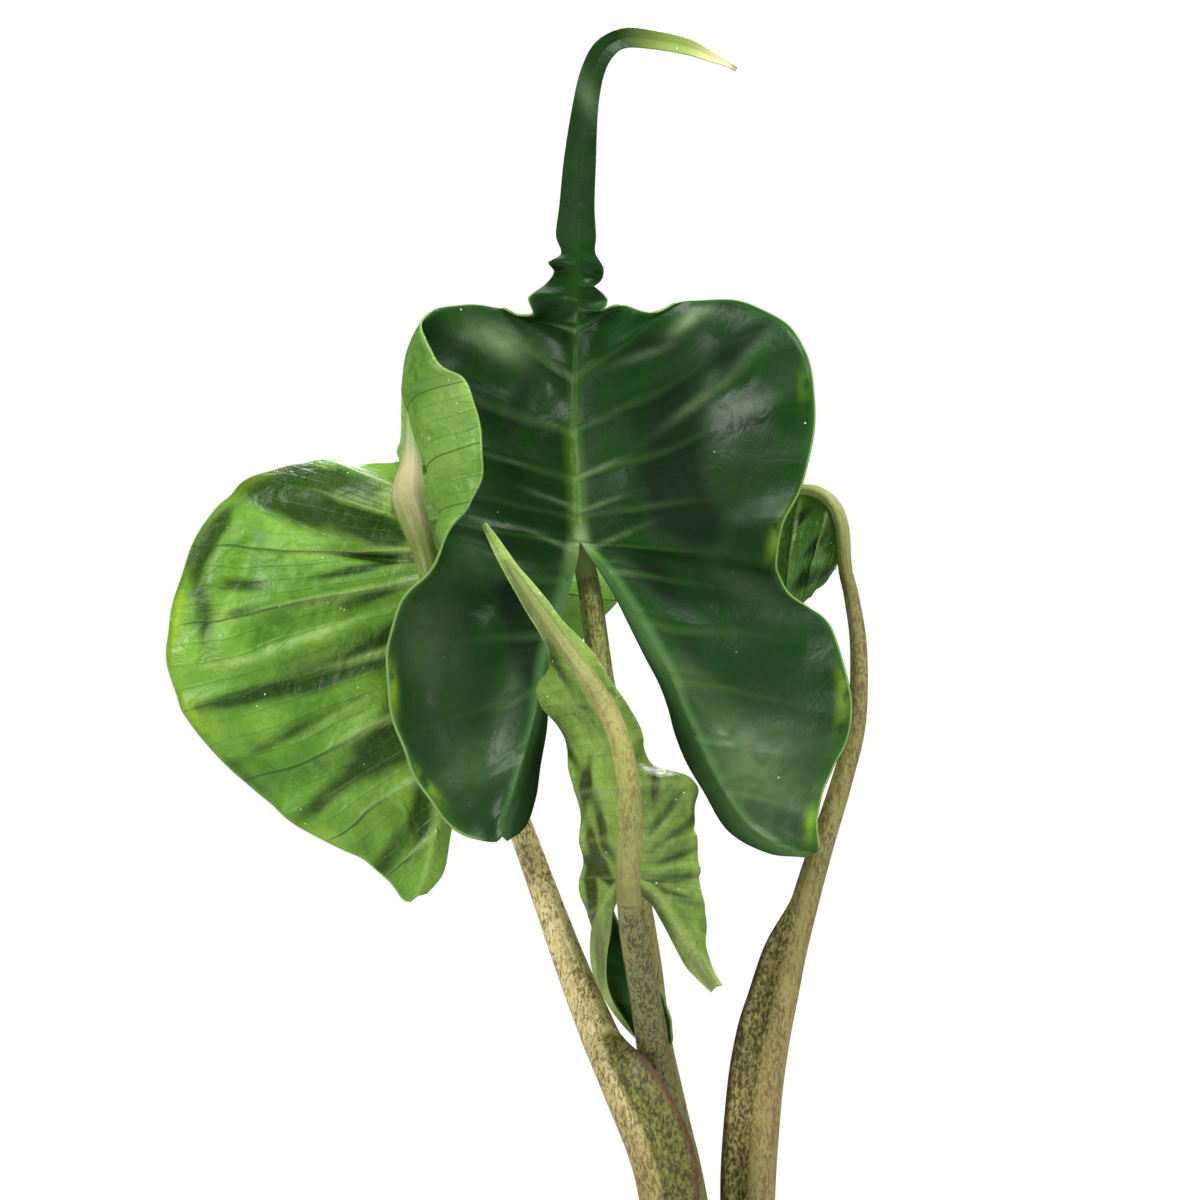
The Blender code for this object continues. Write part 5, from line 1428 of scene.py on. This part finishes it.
def soil():
    """The potting mix, crumbled into a fine lumpy top round the crown."""
    draws = np.random.default_rng(SOIL_SEED)
    waves = []
    for _ in range(SOIL_WAVES):
        pace, way, start = draws.uniform(*SOIL_PACES), draws.uniform(*PHASES), draws.uniform(*PHASES)
        waves.append((pace * math.cos(way), pace * math.sin(way), start))
    floor = POT_FLOOR + GAP
    hole_floor = SOIL_TOP - CROWN_DEPTH - GAP
    tops = np.linspace(inner_radius(SOIL_TOP) - GAP, crown_radius(SOIL_TOP) + GAP, SOIL_RINGS)
    rings = [(inner_radius(floor) - GAP, floor)] + [(radius, None) for radius in tops]
    rings.append((crown_radius(hole_floor) + GAP, hole_floor))
    points = []
    for radius, height in rings:
        for i in range(SOIL_SIDES):
            turn = 2 * math.pi * i / SOIL_SIDES
            x, y, z = radius * math.cos(turn), radius * math.sin(turn), height
            if height is None:
                lump = sum(math.sin(x * over + y * along + start) for over, along, start in waves)
                z = SOIL_TOP - SOIL_DROP + SOIL_WAVE_HEIGHT * lump
            points.append((x, y, z))
    place("potting_mix", ringed("potting_mix", points, SOIL_SIDES), [soil_material()], "soil", "soil")
    bark = crumb_material("bark", (0.03, 0.018, 0.01), (0.10, 0.06, 0.035))
    perlite = crumb_material("perlite", (0.55, 0.53, 0.49), (0.75, 0.74, 0.70))
    crumbs("bark_crumbs", BARK_CRUMBS, BARK_SIZES, 3, bark)
    crumbs("perlite_crumbs", WHITE_CRUMBS, WHITE_SIZES, 5, perlite)


def crumbs(name, count, sizes, seed, material):
    """Loose crumbs on the soil: small stretched and turned lumps, half sunk in it."""
    draws = np.random.default_rng(seed)
    bm = bmesh.new()
    low, high = crown_radius(SOIL_TOP) + CRUMB_MARGIN, inner_radius(SOIL_TOP) - CRUMB_MARGIN
    for _ in range(count):
        made = bmesh.ops.create_icosphere(bm, subdivisions=1, radius=draws.uniform(*sizes) * MM)
        for vert in made["verts"]:
            vert.co *= draws.uniform(*CRUMB_LUMPS)
        turn, radius = draws.uniform(*PHASES), math.sqrt(draws.uniform(low**2, high**2))
        flat = (1, draws.uniform(*CRUMB_WIDTHS), draws.uniform(*CRUMB_HEIGHTS))
        bmesh.ops.scale(bm, vec=flat, verts=made["verts"])
        spin = draws.uniform(*PHASES)
        for vert in made["verts"]:
            x, y = vert.co.x, vert.co.y
            vert.co.x = x * math.cos(spin) - y * math.sin(spin) + radius * math.cos(turn) * MM
            vert.co.y = x * math.sin(spin) + y * math.cos(spin) + radius * math.sin(turn) * MM
            vert.co.z += (SOIL_TOP + draws.uniform(*CRUMB_RISES)) * MM
    place(name, mesh_from(bm, name), [material], None, "soil")


def marks(glow, lime, shade_and_vein_lines, pale, swells):
    """A blade's marks by name."""
    return {"glow": glow, "lime": lime, "shade_and_vein_lines": shade_and_vein_lines, "pale": pale, "swells": swells}


def leaves():
    """The four blades, each with an upper face and an underside."""
    front_upper = upper_material(
        "front_upper", (0.0035, 0.022, 0.0025), (0.009, 0.048, 0.006),
        (0.035, 0.10, 0.02), (0.055, 0.16, 0.014), 1.0,
    )
    other_upper = upper_material(
        "other_upper", (0.010, 0.05, 0.006), (0.028, 0.11, 0.014),
        (0.06, 0.15, 0.025), (0.08, 0.18, 0.025), 0.15,
    )
    front_under = under_material(
        "front_under", (0.045, 0.14, 0.012), (0.16, 0.31, 0.05), (0.22, 0.36, 0.10), (0.03, 0.09, 0.01),
        marked=0.25,
    )
    left_under = under_material(
        "left_under", (0.055, 0.17, 0.010), (0.185, 0.365, 0.042), (0.27, 0.42, 0.10), (0.02, 0.07, 0.008),
    )
    rolled_under = under_material(
        "rolled_under", (0.06, 0.115, 0.016), (0.25, 0.40, 0.07), (0.31, 0.40, 0.11), (0.03, 0.055, 0.01),
        vein_strength=0.25,
    )
    right_under = under_material(
        "right_under", (0.02, 0.075, 0.007), (0.06, 0.155, 0.018), (0.15, 0.26, 0.06), (0.02, 0.06, 0.008),
    )
    blade(
        "leaf_front_blade", FRONT_TAIL, FRONT_ROWS, (FRONT_LEFT_LOBE, FRONT_RIGHT_LOBE), True,
        marks(FRONT_GLOW, FRONT_LIME, FRONT_SHADE, FRONT_SHEEN_AND_PALE, FRONT_SWELLS),
        [front_upper, front_under], "blade_dark", seed=1,
    )
    blade(
        "leaf_left_blade", LEFT_TAIL, LEFT_ROWS, (LEFT_LEFT_LOBE, LEFT_RIGHT_LOBE), False,
        marks(LEFT_GLOW, LEFT_LIME, LEFT_SHADE, LEFT_LIT_RIDGES, LEFT_SWELLS),
        [other_upper, left_under], "blade_light", seed=5,
    )
    blade(
        "leaf_rolled_blade", ROLLED_TAIL, ROLLED_ROWS, (ROLLED_LEFT_LOBE, ROLLED_RIGHT_LOBE), False,
        marks(ROLLED_GLOW, ROLLED_LIME, ROLLED_SHADE_AND_VEIN_LINES, ROLLED_LIT_RIDGES, ROLLED_SWELLS),
        [other_upper, rolled_under], "blade_light", seed=9,
    )
    blade(
        "leaf_right_blade", RIGHT_TAIL, RIGHT_ROWS, ([], []), False,
        marks(RIGHT_GLOW, RIGHT_LIME, RIGHT_SHADE, [], RIGHT_SWELLS),
        [other_upper, right_under], "blade_mid", seed=13,
    )


def ribs():
    """The midribs on the undersides of the four blades."""
    front_tones = ((0.2, 0.22, 0.07), (0.14, 0.2, 0.045), (0.15, 0.28, 0.05))
    left_tones = (
        (0.22, 0.23, 0.06), (0.15, 0.2, 0.035), (0.46, 0.38, 0.22), (0.25, 0.33, 0.12), (0.16, 0.3, 0.05),
    )
    rolled_tones = (
        (0.18, 0.18, 0.06), (0.33, 0.33, 0.09), (0.33, 0.32, 0.1), (0.2, 0.24, 0.06), (0.12, 0.16, 0.04),
    )
    right_tones = ((0.21, 0.22, 0.065), (0.36, 0.40, 0.13), (0.24, 0.32, 0.07))
    front = rib_material("rib_front", front_tones, FLECK, 0.8, 0.3)
    left = rib_material("rib_left", left_tones, FLECK, 0.5, 0.7)
    rolled = rib_material("rib_rolled", rolled_tones, FLECK, 0.65, 1.4)
    right = rib_material("rib_right", right_tones, FLECK, 0.5, 0.7)
    midrib("leaf_front_midrib", FRONT_STALK[-1], FRONT_RIB, front, "blade_dark", FRONT_RIB_SINK)
    midrib("leaf_left_midrib", LEFT_STALK[-1], LEFT_RIB, left, "blade_light", LEFT_RIB_SINK)
    midrib("leaf_rolled_midrib", ROLLED_STALK[-1], ROLLED_RIB, rolled, "blade_light")
    midrib("leaf_right_midrib", RIGHT_STALK[-1], RIGHT_RIB, right, "blade_mid")


def stalks():
    """The four stalks, each with its own skin and the turn of its wing."""
    olive_sheath = (0.12, 0.12, 0.03)
    gold_sheath = (0.09, 0.1, 0.016)
    brown_sheath = (0.22, 0.19, 0.06)
    green = stalk_material("stalk_green_skin", (0.2, 0.17, 0.06), (0.28, 0.36, 0.085), FLECK, olive_sheath)
    cream = stalk_material("stalk_cream_skin", (0.30, 0.25, 0.085), (0.88, 0.75, 0.36), FLECK, gold_sheath)
    olive = stalk_material(
        "stalk_olive_skin", (0.13, 0.13, 0.042), (0.18, 0.19, 0.06), DARK_FLECK, olive_sheath,
    )
    amber = stalk_material("stalk_amber_skin", (0.25, 0.205, 0.07), (0.2, 0.21, 0.06), FLECK, brown_sheath)
    stalk("leaf_front_stalk", FRONT_STALK, 0, green, "stalk_green")
    stalk("leaf_left_stalk", LEFT_STALK, LEFT_WING_TURN, cream, "stalk_cream")
    stalk("leaf_rolled_stalk", ROLLED_STALK, 0, olive, "stalk_green")
    stalk("leaf_right_stalk", RIGHT_STALK, RIGHT_WING_TURN, amber, "stalk_cream")


def area_light(name, spot, size, power):
    """A square soft light that faces the plant."""
    data = bpy.data.lights.new(name, "AREA")
    data.size = size
    data.energy = power
    light = linked(name, data)
    light.location = spot
    light.rotation_euler = (Vector(LIGHT_TARGET) - light.location).to_track_quat("-Z", "Y").to_euler()


def surround():
    """A white surround, which the camera sees brighter than it lights the plant."""
    world = bpy.data.worlds.new("studio")
    bpy.context.scene.world = world
    world.use_nodes = True
    tree = world.node_tree
    background = tree.nodes["Background"]
    background.inputs["Color"].default_value = (1, 1, 1, 1)
    seen = tree.nodes.new("ShaderNodeLightPath").outputs["Is Camera Ray"]
    strength = tree.nodes.new("ShaderNodeMapRange")
    strength.inputs["To Min"].default_value = SURROUND_LIGHT
    strength.inputs["To Max"].default_value = SURROUND_SEEN
    tree.links.new(seen, strength.inputs["Value"])
    tree.links.new(strength.outputs["Result"], background.inputs["Strength"])


def studio():
    """A pale round floor, a white surround, four soft lights and the camera."""
    bm = bmesh.new()
    size = {"radius1": FLOOR_RADIUS, "radius2": FLOOR_RADIUS, "depth": FLOOR_DEPTH}
    bmesh.ops.create_cone(bm, cap_ends=True, segments=FLOOR_SIDES, **size)
    mesh = mesh_from(bm, "floor")
    mesh.materials.append(floor_material())
    floor = linked("floor", mesh)
    floor.location.z = -FLOOR_DEPTH / 2
    surround()
    for name, (spot, width, power) in LIGHTS.items():
        area_light(name, spot, width, power)
    camera = linked("camera", bpy.data.cameras.new("camera"))
    camera.location = VIEW_PLACE
    camera.rotation_euler = (math.pi / 2, 0, 0)
    camera.data.sensor_width = VIEW_SENSOR
    camera.data.lens = VIEW_LENS
    bpy.context.scene.camera = camera
    bpy.context.scene.view_settings.view_transform = "Standard"


studio()
pot()
soil()
crown()
husks()
stalks()
leaves()
ribs()
